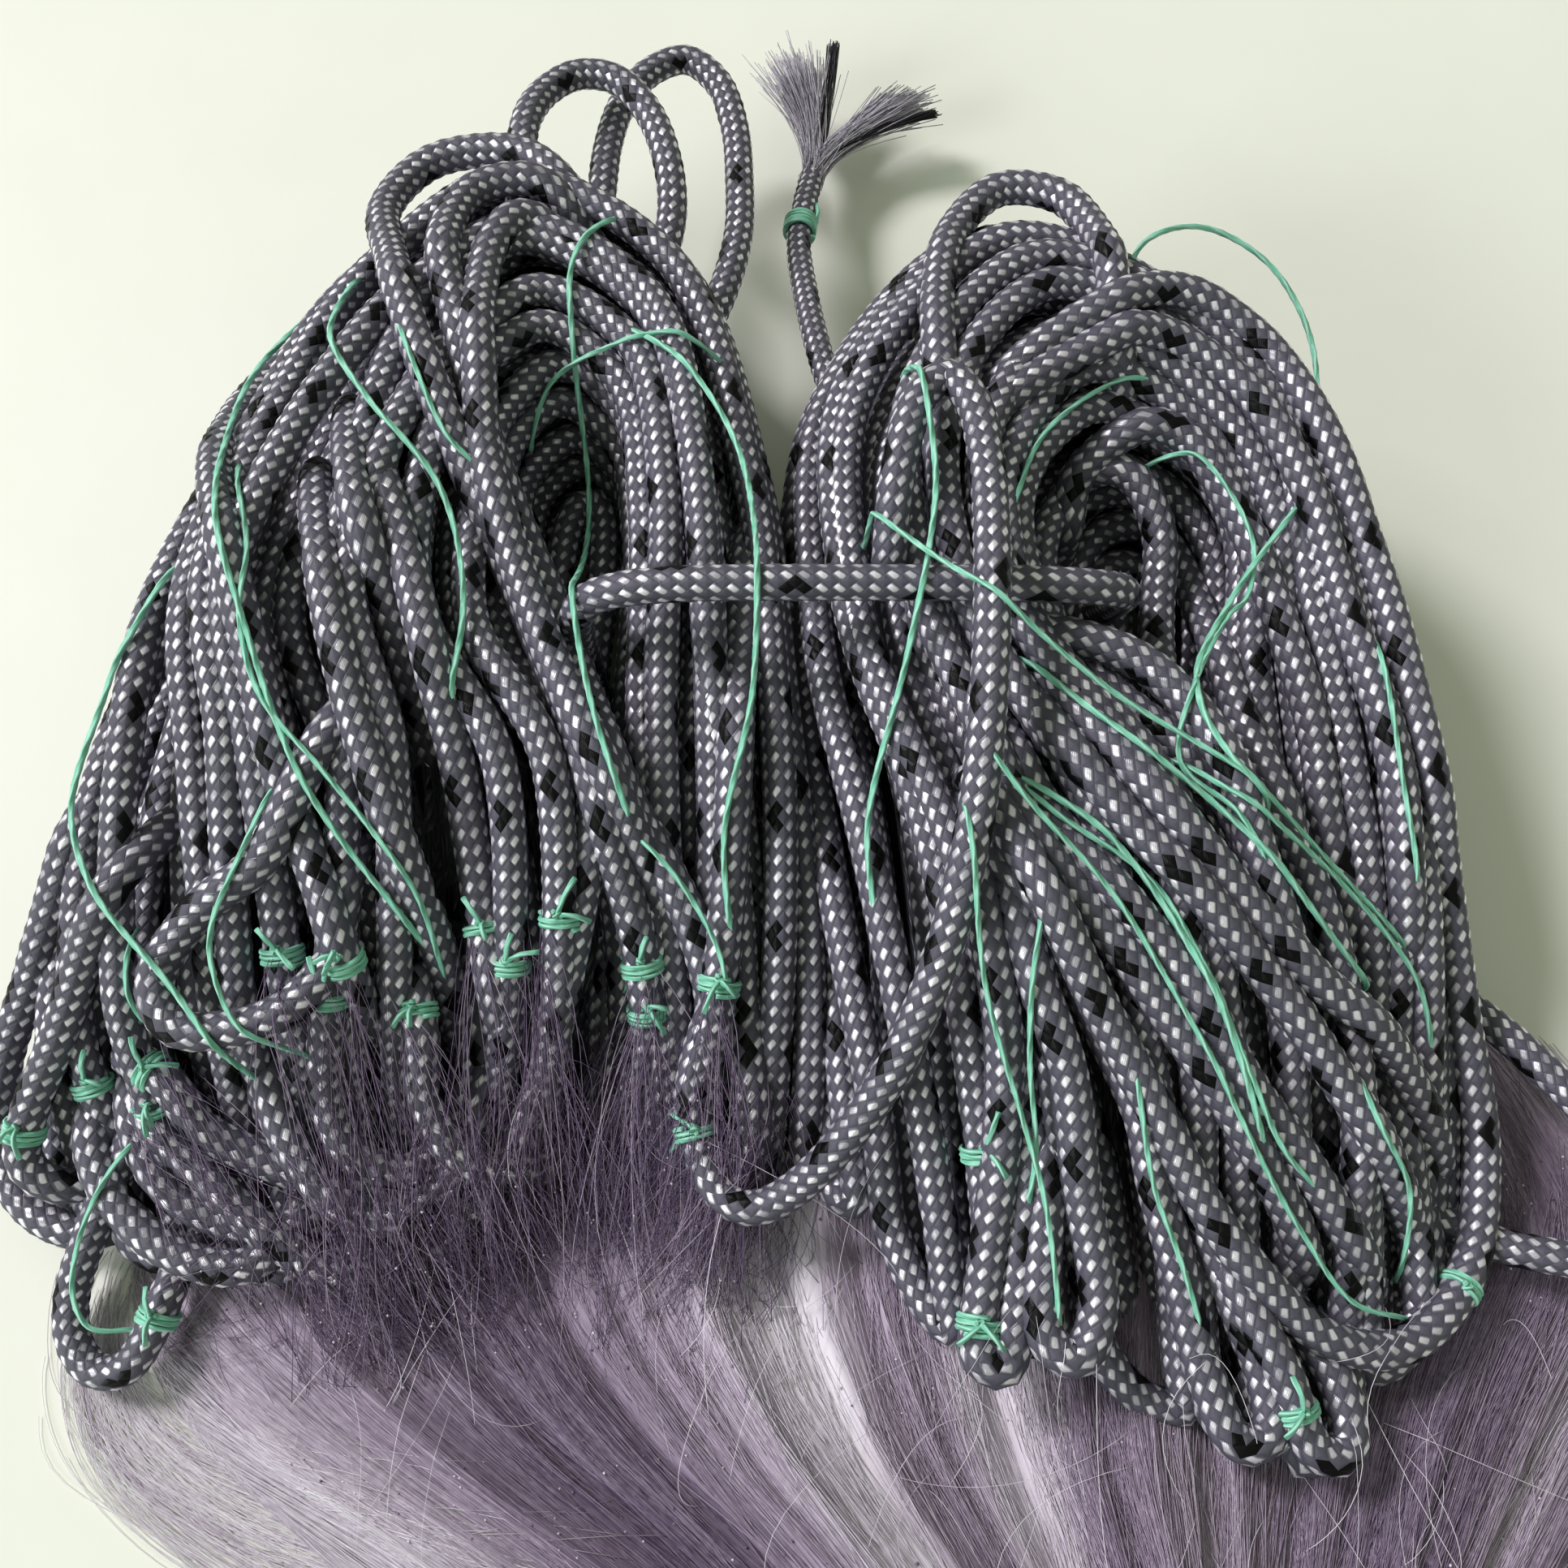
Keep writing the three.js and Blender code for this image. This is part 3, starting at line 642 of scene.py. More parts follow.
braidLook = {
    "light": colour(250, 246, 255),  # painted sheen: near-white colour in the middle of the picks that lean to the light
    "ground": colour(80, 78, 92),  # the yarn's own colour, round the painted sheen and on the picks that lean the other way
    "sheenFullness": (1.6, 1.8),  # of the painted sheen on a pick, and of its streaks
    "sheenNarrowness": 5,  # of that painted sheen, across the way that a pick leans
    "streaks": (9, 1.6),  # of the painted sheen, across and along the way that a pick leans
    "sheenBrightness": (0.06, 0.6, 0.8),  # of the painted sheen: least, and what changes along the line and from pick to pick
    "softScale": 0.16,
    "tracer": colour(5, 5, 6),
    "tracerEvery": 7,  # picks along the line
    "tracerPicks": 2,  # black ones together
    "tracerDepth": 0.62,  # how little they mirror
    "relief": 0.14,
    "fibres": 40,
    "fibreRelief": 0.05,
    "roughness": 0.34,
    "toneRoughness": 0.1,  # more, from pick to pick
    "otherRoughness": 0.2,  # more, on the picks that lean the other way
    "shine": 0.6,
    "gloss": 0.5,
}


def braidFinish(name, look):
    f = Finish(name, **{"Specular IOR Level": look["gloss"]})
    x, y = f.uv()
    dx, dy = x - x.math("ROUND"), y - y.math("ROUND")
    off = dx.math("ABSOLUTE") + dy.math("ABSOLUTE")
    other = 1 - (off < 0.5)  # the picks that lean the other way
    middle = (1 - off * 2).math("ABSOLUTE")  # 0 at a pick's edge, 1 in its middle
    column = (x - other * 0.5).math("ROUND") % line["columns"]
    pick = (y - other * 0.5).math("ROUND")
    tone = f.whiteNoise("2D", "Vector", f.pair(pick, column))
    soft = f.noise(f.pair(x, y), look["softScale"])
    half = line["columns"] // 2
    group = (pick * (1 / look["tracerEvery"])).math("FLOOR")
    tracerColumn = (f.whiteNoise("1D", "W", group) * half).math("FLOOR")
    onColumn = (column % half - tracerColumn).math("ABSOLUTE") < 0.5
    inTracer = onColumn * (pick % look["tracerEvery"] + other < look["tracerPicks"] - 0.5)
    oval = (1 - ((dx - dy) * 2) ** 2) ** look["sheenNarrowness"] * (1 - ((dx + dy) * 2) ** 4)
    streak = f.noise(f.pair((x - y) * look["streaks"][0], (x + y) * look["streaks"][1]), 1.0)
    full, streaky = look["sheenFullness"]
    least, along, single = look["sheenBrightness"]
    sheenBright = (least + soft * along + tone * single).clamp()
    # lit is painted sheen: an oval of the light colour on each pick that leans to the light, for the
    # yarn's highlight
    lit = (oval * (full + streak * streaky)).clamp() * (1 - other) * sheenBright
    yarn = f.mix(lit, look["ground"], look["light"])
    fibres = ((x + (other * 2 - 1) * y) * look["fibres"]).math("SINE")
    f.set("Base Color", f.mix(inTracer, yarn, look["tracer"]))
    f.set("Metallic", inTracer * look["tracerDepth"] + (1 - inTracer) * lit * look["shine"])
    f.set("Roughness", look["roughness"] + other * look["otherRoughness"] + tone * look["toneRoughness"])
    f.bump(middle * (2 - middle) + fibres * look["fibreRelief"], look["relief"])
    return f.material


twineLook = {
    "lit": colour(186, 246, 224),
    "shaded": colour(92, 184, 152),
    "plies": 2,
    "pitch": 4.0,
    # painted shade: the plies' sine puts the shaded green in the grooves between them and the lit green
    # on their crests
    "plyGrooveShade": 0.16,
    "wear": (0.35, 4),  # scale and detail
    "wearTone": (1.1, -0.1),  # how much, and from where
    "wearRelief": 0.5,
    "roughness": 0.38,
    "wearRoughness": 0.2,
    "relief": 0.12,
    "gloss": 0.5,
}


def twineFinish(name, look):
    f = Finish(name, **{"Specular IOR Level": look["gloss"]})
    u, v = f.uv()
    ply = ((u * look["plies"] + v * (1 / look["pitch"])) * (2 * math.pi)).math("SINE")
    wear = f.noise(f.pair(u, v), *look["wear"])
    worn, start = look["wearTone"]
    # the ply term paints shade between the plies, where the bump is low
    tone = (wear * worn + ply * look["plyGrooveShade"] + start).math("MINIMUM", 1)
    f.set("Base Color", f.mix(tone, look["shaded"], look["lit"]))
    f.set("Roughness", look["roughness"] + wear * look["wearRoughness"])
    f.bump(ply + wear * look["wearRelief"], look["relief"])
    return f.material


lineFinish = braidFinish("braided_line", braidLook)
# A darker copy of the line's finish, its sheen dimmer: painted shade on the wound line deep inside the
# lobes
paintedShadeLook = {**braidLook, "light": colour(84, 84, 96), "ground": colour(42, 42, 50)}
paintedShadeFinish = braidFinish("braided_line_painted_shade", paintedShadeLook)
greenFinish = twineFinish("hanging_twine", twineLook)
print("line and twine finishes made")

# The hank: its outer layers are braided, the turns under them are plain tubes
for name, layer in layers.items():
    if name.endswith("Under"):
        addTubes("hank_" + name, [plainTube(layer, line["dia"] * underSet["share"])], lineFinish)
    else:
        addTubes("hank_" + name, [braidTube(layer, line["dia"])], lineFinish, ("line_hank",))

overParts = [braidTube(path, line["dia"] * line["flattened"]) for path in overPaths]
addTubes("hank_over", overParts, lineFinish)
eyeParts = [plainTube(smoothCurve(route), line["dia"]) for route in eyeTurns]
addTubes("hank_eye_turns", eyeParts, lineFinish)
print("hank:", len(layers) + len(overParts) + len(eyeParts), "windings")


def superellipse(spec):  # the tie, round the inner legs and through both eyes
    angle = np.linspace(0, 2 * math.pi, spec["points"] + 1)[:-1]
    x0, x1 = spec["eyes"]
    bend = [np.sign(w) * np.abs(w) ** spec["squareness"] for w in (np.cos(angle), np.sin(angle))]
    x = (x0 + x1) / 2 + (x1 - x0) / 2 * bend[0]
    z = (spec["low"] + spec["top"]) / 2 + (spec["top"] - spec["low"]) / 2 * bend[1]
    inEye = np.clip(((x - x0) / (x1 - x0) - spec["leanFrom"]) / (1 - spec["leanFrom"]), 0, 1)
    return np.stack([x, spec["y"] + spec["leanBack"] * inEye * (spec["top"] - z), z], axis=1)


ring = superellipse(tieRing)
ring = curveAt(np.vstack([ring, ring[:1]]), np.linspace(0, 1, tieRing["samples"]))[:-1]
addTubes("hank_tie_line", [braidTube(ring, line["dia"], closed=True)], lineFinish, ("hank_tie",))


def addCord(name, tube, finish, node):
    piece = addTubes(name, [tube], finish, (node,))
    route = tube[3]
    route[0] * mm


for name, route in bightRoutes.items():
    tube = braidTube(smoothCurve(route), line["dia"])
    addCord(name + "_line", tube, lineFinish, name)

# Under the turns, the rest of the wound line as one ridged body in each lobe, in the darker finish of
# painted shade
coreSet = {
    "sink": 13.0,
    "ridge": 1.6,
    "turns": 17,
    "columns": 56,
    "rows": 32,
    "samples": 160,
    "behindFront": 9,
    "bottom": 0.2,
}


def closedSlab(top, low, plainBottom=False):  # a grid of points closed below at the height low
    rows, columns = top.shape[:2]
    under = top.copy()
    under[..., 2] = low
    y, x = np.meshgrid(np.arange(rows - 1), np.arange(columns - 1), indexing="ij")
    a = (y * columns + x).ravel()
    quads = np.stack([a, a + 1, a + columns + 1, a + columns], 1)
    index = np.arange(rows * columns).reshape(rows, columns)
    rim = np.concatenate([index[0], index[1:, -1], index[-1, -2::-1], index[-2:0:-1, 0]])
    if plainBottom:  # one fan over the rim
        points = np.concatenate([top.reshape(-1, 3), under.reshape(-1, 3)[rim],
                                 under.reshape(-1, 3)[rim].mean(axis=0, keepdims=True)])
        low = rows * columns + np.arange(len(rim))
        floor = np.stack([low, np.roll(low, -1), np.full(len(rim), len(points) - 1)], 1)[:, ::-1]
    else:
        points = np.concatenate([top.reshape(-1, 3), under.reshape(-1, 3)])
        low = rim + rows * columns
        bottom = quads[:, ::-1] + rows * columns
        floor = np.concatenate([bottom[:, [0, 1, 2]], bottom[:, [0, 2, 3]]])
    walls = np.stack([rim, low, np.roll(low, -1), np.roll(rim, -1)], 1)
    sides = np.concatenate([quads, walls])
    return points, np.concatenate([sides[:, [0, 1, 2]], sides[:, [0, 2, 3]], floor])


def facedUp(points, faces):  # turns a slab the right way out
    corners = points[faces]
    volume = np.einsum("ij,ij->i", corners[:, 0], np.cross(corners[:, 1], corners[:, 2])).sum()
    return faces if volume > 0 else faces[:, ::-1]


def addCore(name, lobe, spec):
    along = np.linspace(0, 1, spec["samples"])
    grid = []
    for i in range(spec["columns"]):
        share = (i + 0.5) / spec["columns"]
        sink = spec["sink"] + spec["ridge"] * abs(math.sin(math.pi * share * spec["turns"]))
        run = lobePoints(lobe, along, np.full(len(along), share), np.full(len(along), sink))
        grid.append(resampled(behindFront(run, spec["behindFront"]), spec["rows"] - 1))
    points, faces = closedSlab(np.array(grid), spec["bottom"])
    uv = points[faces][..., :2] * (line["columns"] / math.pi / line["dia"], 1 / line["pitch"])
    addPiece(name, points, facedUp(points, faces), paintedShadeFinish, uv)


addCore("hank_left_core", leftLobe, coreSet)
addCore("hank_right_core", rightLobe, coreSet)


# The tail: its whipping of twine and the brush of frayed yarns
twine = {
    "dia": 1.1,
    "wide": 0.94,
    "thin": 0.8,
    "pitch": 5.0,
    "around": 6,
    "step": 0.8,
    "coilPoints": 16,  # to a turn
}


def twineTube(path, share=1.0):  # two plies laid together: a flat oval that turns along its length
    route = spaced(path, twine["step"])
    _, side, up = turnFrames(route)
    turn = 2 * math.pi * runLength(route)[:, None] / twine["pitch"]
    angle = np.arange(twine["around"]) / twine["around"] * 2 * math.pi
    wide, thin = np.cos(angle) * twine["wide"] / 2 * share, np.sin(angle) * twine["thin"] / 2 * share
    a = wide * np.cos(turn) - thin * np.sin(turn)
    b = wide * np.sin(turn) + thin * np.cos(turn)
    points = route[:, None] + a[..., None] * side[:, None] + b[..., None] * up[:, None]
    faces, corners = tubeFaces(len(route), twine["around"])
    points, faces, corners = capped(points.reshape(-1, 3), faces, corners, len(route), twine["around"])
    return points, faces, corners * (1 / twine["around"], twine["step"]), route


def coil(centre, axis, radius, turns, pitch, start=0.0):  # turns of twine round a line
    axis = axis / np.linalg.norm(axis)
    aslant = (0.13, 0.31, 1)  # a direction that no axis has
    side = np.cross(axis, aslant)
    side = side / np.linalg.norm(side)
    up = np.cross(axis, side)
    angle = np.linspace(0, 2 * math.pi * turns, int(twine["coilPoints"] * turns) + 1)[:, None] + start
    shift = np.linspace(-0.5, 0.5, len(angle))[:, None] * turns * pitch
    return centre + shift * axis + radius * (np.cos(angle) * side + np.sin(angle) * up)


yarnSides = 3


def filaments(paths, dia):  # many fine yarns in one closed mesh; paths is yarn by point by xyz
    count, steps = paths.shape[:2]
    ahead = np.gradient(paths, axis=1)
    ahead = ahead / np.linalg.norm(ahead, axis=2, keepdims=True)
    aslant = (0.05, 0.03, 1)
    side = np.cross(ahead, aslant)
    side = side / np.linalg.norm(side, axis=2, keepdims=True)
    up = np.cross(ahead, side)
    angle = np.arange(yarnSides) / yarnSides * 2 * math.pi
    thick = (np.broadcast_to(np.asarray(dia, float), (count,)) / 2)[:, None, None, None]
    around = np.cos(angle)[:, None] * side[:, :, None] + np.sin(angle)[:, None] * up[:, :, None]
    points = paths[:, :, None] + thick * around
    faces, _ = tubeFaces(steps, yarnSides)
    last = yarnSides * (steps - 1)
    faces = np.concatenate([faces, [[0, 2, 1]], [[last, last + 1, last + 2]]])
    every = np.arange(count)[:, None, None] * steps * yarnSides + faces
    return points.reshape(-1, 3), every.reshape(-1, 3)


def perPoint(values, steps):  # one value for each filament, at each of its points
    return np.repeat(values, yarnSides * steps)


def bent(a, m, b, t):  # from a to b, drawn towards m
    return (1 - t) ** 2 * a + 2 * t * (1 - t) * m + t**2 * b


spotSet = {"scale": 900, "detail": 3, "tone": 0.35, "roughness": 0.2}  # small changes on a yarn
yarnLook = {
    "black": colour(26, 25, 30),
    "grey": colour(120, 115, 130),
    "pale": colour(215, 210, 222),
    "middle": 0.45,  # tone that is grey
    "roughness": 0.4,
    "gloss": 0.5,
}


def yarnFinish(name, look):
    f = Finish(name, **{"Specular IOR Level": look["gloss"]})
    spot = f.noise(f.objectPlace(), spotSet["scale"], spotSet["detail"])
    f.set("Base Color", f.ramp((f.attribute("tone") + (spot - 0.5) * spotSet["tone"]).clamp(), look))
    f.set("Roughness", look["roughness"] + spot * spotSet["roughness"])
    return f.material


fraySet = {
    "tufts": [  # tip, spread, yarns, tone
        ((2, 147, 12), 6.5, 440, 0.8),
        ((22, 140, 11), 5.5, 360, 0.75),
        ((9, 150, 15), 1.2, 60, 0.02),
        ((27, 137, 12), 1.4, 60, 0.02),
    ],
    "steps": 8,
    "dia": 0.18,
    "rootBack": 2,  # where the yarns start, before the line's end
    "rootSpread": 0.16,  # in the line's diameter
    "tipSpread": (0.45, 0.3, 0.32),  # in a tuft's spread
    "lowest": 0.6,
    "straight": 0.5,  # share of a yarn's length that goes on along the line
    "bowSpread": 0.12,
    "toneSpread": 0.12,
}
whipping = {
    "at": 0.79,
    "turns": 4,
    "pitch": 0.85,
    "standOff": 0.35,
    "lastEnd": [(0.5, (-1, 2, 0.4)), (0.4, (-2, 6, -1))],  # share of the way on outwards, and a shift
    "firstEnd": [(0, (-1.5, -1, 1)), (0, (-4, -2.5, 0.5))],
}

tailLine = smoothCurve(tailRoute)
tailTube = braidTube(tailLine, line["tailDia"])


def addFray(spec):
    root, ahead = tailLine[-1], tailLine[-1] - tailLine[-1 - hankSet["endSpan"]]
    ahead = ahead / np.linalg.norm(ahead)
    t = np.linspace(0, 1, spec["steps"])[None, :, None]
    paths, tones = [], []
    for tip, spread, count, tone in spec["tufts"]:
        aside = chance.normal(size=(count, 3)) * line["tailDia"] * spec["rootSpread"]
        start = root - ahead * spec["rootBack"] + aside
        end = np.array(tip) + chance.normal(size=(count, 3)) * spread * spec["tipSpread"]
        end[:, 2] = np.maximum(end[:, 2], spec["lowest"])
        middle = start + ahead * np.linalg.norm(end - start, axis=1)[:, None] * spec["straight"]
        middle += chance.normal(size=(count, 3)) * spread * spec["bowSpread"]
        paths.append(bent(start[:, None], middle[:, None], end[:, None], t))
        tones.append(np.clip(tone + chance.normal(size=count) * spec["toneSpread"], 0, 1))
    points, faces = filaments(np.concatenate(paths), spec["dia"])
    tone = perPoint(np.concatenate(tones), spec["steps"])
    finish = yarnFinish("frayed_yarn", yarnLook)
    return addPiece("tail_brush", points, faces, finish, None, {"tone": tone}, ("tail_fray",))


def addWhipping(spec):
    middle = int(spec["at"] * (len(tailLine) - 1))
    axis = tailLine[middle + 1] - tailLine[middle - 1]
    radius = line["tailDia"] / 2 + spec["standOff"]
    wrap = coil(tailLine[middle], axis, radius, spec["turns"], spec["pitch"])
    tubes = [twineTube(wrap)]
    for start, steps in ((wrap[-1], spec["lastEnd"]), (wrap[0], spec["firstEnd"])):
        away = start - tailLine[middle]
        route = [start] + [start + away * share + shift for share, shift in steps]
        tubes.append(twineTube(smoothCurve(route, twine["step"])))
    return addTubes("tail_wrap", tubes, greenFinish, ("tail_whipping",))


onTail = addFray(fraySet), addWhipping(whipping)
addCord("tail_line_braid", tailTube, lineFinish,
        "tail_line")
print("tail made")

# The webbing, gathered under the front of the hank
webbing = {
    "rows": [  # y, left, right, crest
        (-26, -72, 109, 7), (-42, -82, 119, 9), (-62, -88, 124, 12), (-84, -76, 124, 15),
        (-106, -49, 119, 20), (-130, -37, 107, 22), (-150, -30, 92, 20), (-164, -17, 76, 15),
        (-172, 2, 56, 8),
    ],
    "folds": [  # share across, width, rise
        (0.1, 0.05, 0.12), (0.24, 0.06, -0.3), (0.35, 0.07, 0.2), (0.5, 0.05, -0.35), (0.61, 0.06, 0.2),
        (0.71, 0.04, -0.3), (0.84, 0.07, 0.18),
    ],
    "tresses": [  # share across, width, how pale its yarns are
        (0.0, 0.03, 0.95), (0.08, 0.04, 0.7), (0.16, 0.05, 0.45), (0.24, 0.05, 0.32), (0.32, 0.03, 0.45),
        (0.365, 0.025, 0.65), (0.41, 0.025, 1.0), (0.468, 0.025, 0.48), (0.526, 0.025, 0.95),
        (0.585, 0.03, 0.4), (0.64, 0.03, 0.6), (0.71, 0.04, 0.4), (0.78, 0.04, 0.3), (0.83, 0.03, 0.3),
        (0.87, 0.02, 0.8), (0.93, 0.04, 0.45),
    ],
    "lastTress": 0.96,  # share across past which the last one goes on
    "deepen": 0.2,  # how much darker the yarns get where they draw together
    "deepenFrom": 0.15,  # share along
    "deepenOver": 0.4,
    "drawTo": 0.45,  # the share across that the yarns sweep in to
    "drawFrom": 0.22,  # share along where that begins
    "drawRate": 1.36,
    "drawMost": 0.55,
    "tressesAt": 0.4,  # share along where the tresses and folds have the places given
    "patches": [  # plan place, half width, half length, how open, how much paler
        (8, -76, 6, 15, 1, 0.16), (29, -86, 6, 11, 1, -0.04), (-60, -72, 14, 9, 1, 0.1),
        (2, -98, 7, 10, 1, 0.08), (-33, -87, 6, 5, 0, -0.35), (-25, -81, 4, 4, 0, -0.3),
        (-18, -95, 15, 9, 0, -0.22), (-20, -62, 14, 9, 0, -0.1), (54, -95, 9, 8, 0, 0.06),
        (40, -94, 6, 9, 0, -0.15),
    ],
    "lumps": [(9, 1.1), (17, 0.8), (31, 0.45), (53, 0.25)],  # ridges across, height
    "lumpDrift": 0.6,  # of the ridges sideways
    "nose": 9,  # how steeply the front end comes down
    "pastEnd": 60,  # reach of yarns past the front end, for a whole share
    "lowest": 0.3,
    "rowSpacing": 10,
    "samples": 400,
    "columns": 240,
    "lengthways": 84,
}
webShares = np.linspace(0, 1, webbing["samples"])
webTable = curveAt([row[:3] for row in webbing["rows"]], webShares)
webRises = [(row[3], 0, webbing["rowSpacing"] * i) for i, row in enumerate(webbing["rows"])]
webCrest = curveAt(webRises, webShares)[:, 0]
lumpPhase = [(chance.random(), chance.normal() * webbing["lumpDrift"]) for _ in webbing["lumps"]]


def closeness(along):  # how far apart the yarns lie, against where the tresses are given
    drawn, given = (np.clip((a - webbing["drawFrom"]) * webbing["drawRate"], 0, webbing["drawMost"])
                    for a in (along, webbing["tressesAt"]))
    return (1 - drawn) / (1 - given)


def laneAt(share, along):  # the yarn that passes there, named by its share across at the tresses
    return webbing["drawTo"] + (share - webbing["drawTo"]) / closeness(along)


def shareOf(lane, along):
    return webbing["drawTo"] + (lane - webbing["drawTo"]) * closeness(along)


def webRow(along):  # y, left and right
    return [np.interp(along, webShares, webTable[:, i]) for i in range(3)]


def webPlace(share, along):  # a point of the webbing, for its share across and along
    t = np.clip(along, 0, 1)
    y, left, right = webRow(t)
    crest = np.interp(t, webShares, webCrest)
    inside = np.clip(share, 0, 1)
    lane = laneAt(inside, t)
    fold = sum(rise * np.exp(-(((lane - at) / width) ** 2)) for at, width, rise in webbing["folds"])
    coarsest = webbing["lumps"][0][0]
    lump = sum(
        high * np.sin(2 * math.pi * (number * lane + phase + drift * t * number / coarsest))
        for (number, high), (phase, drift) in zip(webbing["lumps"], lumpPhase))
    edge = np.sqrt(np.maximum(np.sin(math.pi * inside), 0))
    nose = np.sqrt(np.clip((1 - t) * webbing["nose"], 0, 1))
    z = edge * nose * (crest * (1 + fold * np.sqrt(t)) + lump)
    past = np.maximum(along - 1, 0) * webbing["pastEnd"]
    return np.stack([left + (right - left) * share, y - past, np.maximum(z, webbing["lowest"])], -1)


def paleness(lane, along):  # of the yarns, from the tresses
    inside = np.clip(lane, 0, webbing["lastTress"])
    weight = np.stack([np.exp(-(((inside - at) / width) ** 2)) for at, width, _ in webbing["tresses"]])
    tone = np.array([tone for _, _, tone in webbing["tresses"]])
    drawn = np.clip((along - webbing["deepenFrom"]) / webbing["deepenOver"], 0, 1)
    return (weight * tone[:, None]).sum(axis=0) / (weight.sum(axis=0) + tiny) - webbing["deepen"] * drawn


def openness(places):  # how thin and smooth the webbing lies, and how much paler
    opened, paler = 0, 0
    for x, y, wide, long, how, tone in webbing["patches"]:
        near = np.exp(-(((places[..., 0] - x) / wide) ** 2) - ((places[..., 1] - y) / long) ** 2)
        opened, paler = opened + near * how, paler + near * tone
    return np.minimum(opened, 1), paler


webLook = {
    "black": colour(80, 62, 94),
    "grey": colour(174, 157, 179),
    "pale": colour(240, 235, 243),
    "middle": 0.5,  # tone that is grey
    "tone": (0.9, 0.06),  # how much of the tresses' tone shows, and from where
    "streaks": [(420, 9, 3, 0.22, 1), (1500, 16, 2, 0.16, 0.6)],  # across, along, detail, tone, relief
    "calm": 0.75,  # how much smoother the open patches are
    "roughness": 0.45,
    "fineRoughness": 0.2,
    "relief": 0.12,
    "gloss": 0.4,
}


def webFinish(name, look):
    f = Finish(name, **{"Specular IOR Level": look["gloss"]})
    lane, along = f.uv()
    share, start = look["tone"]
    tone = f.attribute("tone") * share + start
    rough = 1 - f.attribute("open") * look["calm"]
    height = 0
    for wide, long, detail, strength, relief in look["streaks"]:
        streak = (f.noise(f.pair(lane * wide, along * long), 1.0, detail) - 0.5) * rough
        tone = tone + streak * strength
        height = streak * relief + height
    f.set("Base Color", f.ramp(tone.clamp(), look))
    f.set("Roughness", look["roughness"] - streak * look["fineRoughness"])
    f.bump(height, look["relief"])
    return f.material


def addWebbing(name, finish):
    columns, rows = (np.linspace(0, 1, webbing[key]) for key in ("columns", "lengthways"))
    share, along = np.meshgrid(columns, rows)
    grid = webPlace(share.ravel(), along.ravel()).reshape(*share.shape, 3)
    points, faces = closedSlab(grid, 0.0, plainBottom=True)
    places = np.stack([laneAt(share, along).ravel(), along.ravel()], 1)
    underside = np.full((len(points) - len(places), 2), 0.5)
    places = np.concatenate([places, underside])
    opened, paler = openness(points)
    tone = paleness(places[:, 0], places[:, 1]) + paler
    faces = facedUp(points, faces)
    values = {"tone": tone, "open": opened}
    addPiece(name, points, faces, finish, places[faces], values, ("net_webbing",))


addWebbing("webbing_bundle", webFinish("webbing", webLook))
print("webbing made")


def webHeight(plan):  # of the webbing under a place, 0 where there is none
    t = np.interp(-plan[:, 1], -webTable[:, 0], webShares)
    _, left, right = webRow(t)
    share = (plan[:, 0] - left) / (right - left)
    on = (share > 0) & (share < 1) & (plan[:, 1] < webTable[0, 0]) & (plan[:, 1] > webTable[-1, 0])
    return np.where(on, webPlace(share, t)[:, 2], 0)


yarnSet = {
    "pieces": 3,
    "each": 2200,
    "steps": 8,
    "dia": (0.07, 0.13),
    "begin": 0.45,  # share along before which a yarn begins
    "length": (0.25, 0.5),  # least, and what chance adds
    "end": 1.03,
    "drift": 0.016,
    "pivot": 0.3,  # share of a yarn's length where its drift is nothing
    "waves": [(0.8, 0.007), (1.7, 0.004), (2.9, 0.002)],  # number in a yarn, size
    "past": 0.03,  # how far yarns may lie past the bundle's sides, as a share across
    "lift": 0.25,
    "leastLift": 0.1,
    "endLift": 0.4,
    "thinning": (0.15, 0.9),  # openness that a yarn bears, and what chance adds
    "toneAt": 0.15,  # share along past its beginning
    "toneSpread": 0.05,
}
edgeSet = {  # pale yarns on the floor beside the webbing's left edge
    "route": [(-95, -60), (-97, -72), (-91, -84), (-73, -95), (-50, -102), (-24, -109)],
    "spread": [3, 3, 4, 5, 6, 8],
    "stray": 0.25,  # from point to point
    "begin": 0.5,
    "length": (0.4, 0.5),
    "floor": 0.1,
    "lift": 0.3,
    "count": 260,
    "steps": 16,
    "dia": (0.08, 0.15),
    "tone": (0.8, 0.2),
}
netLook = {**webLook, "middle": 0.45, "roughness": 0.36, "gloss": 0.5}


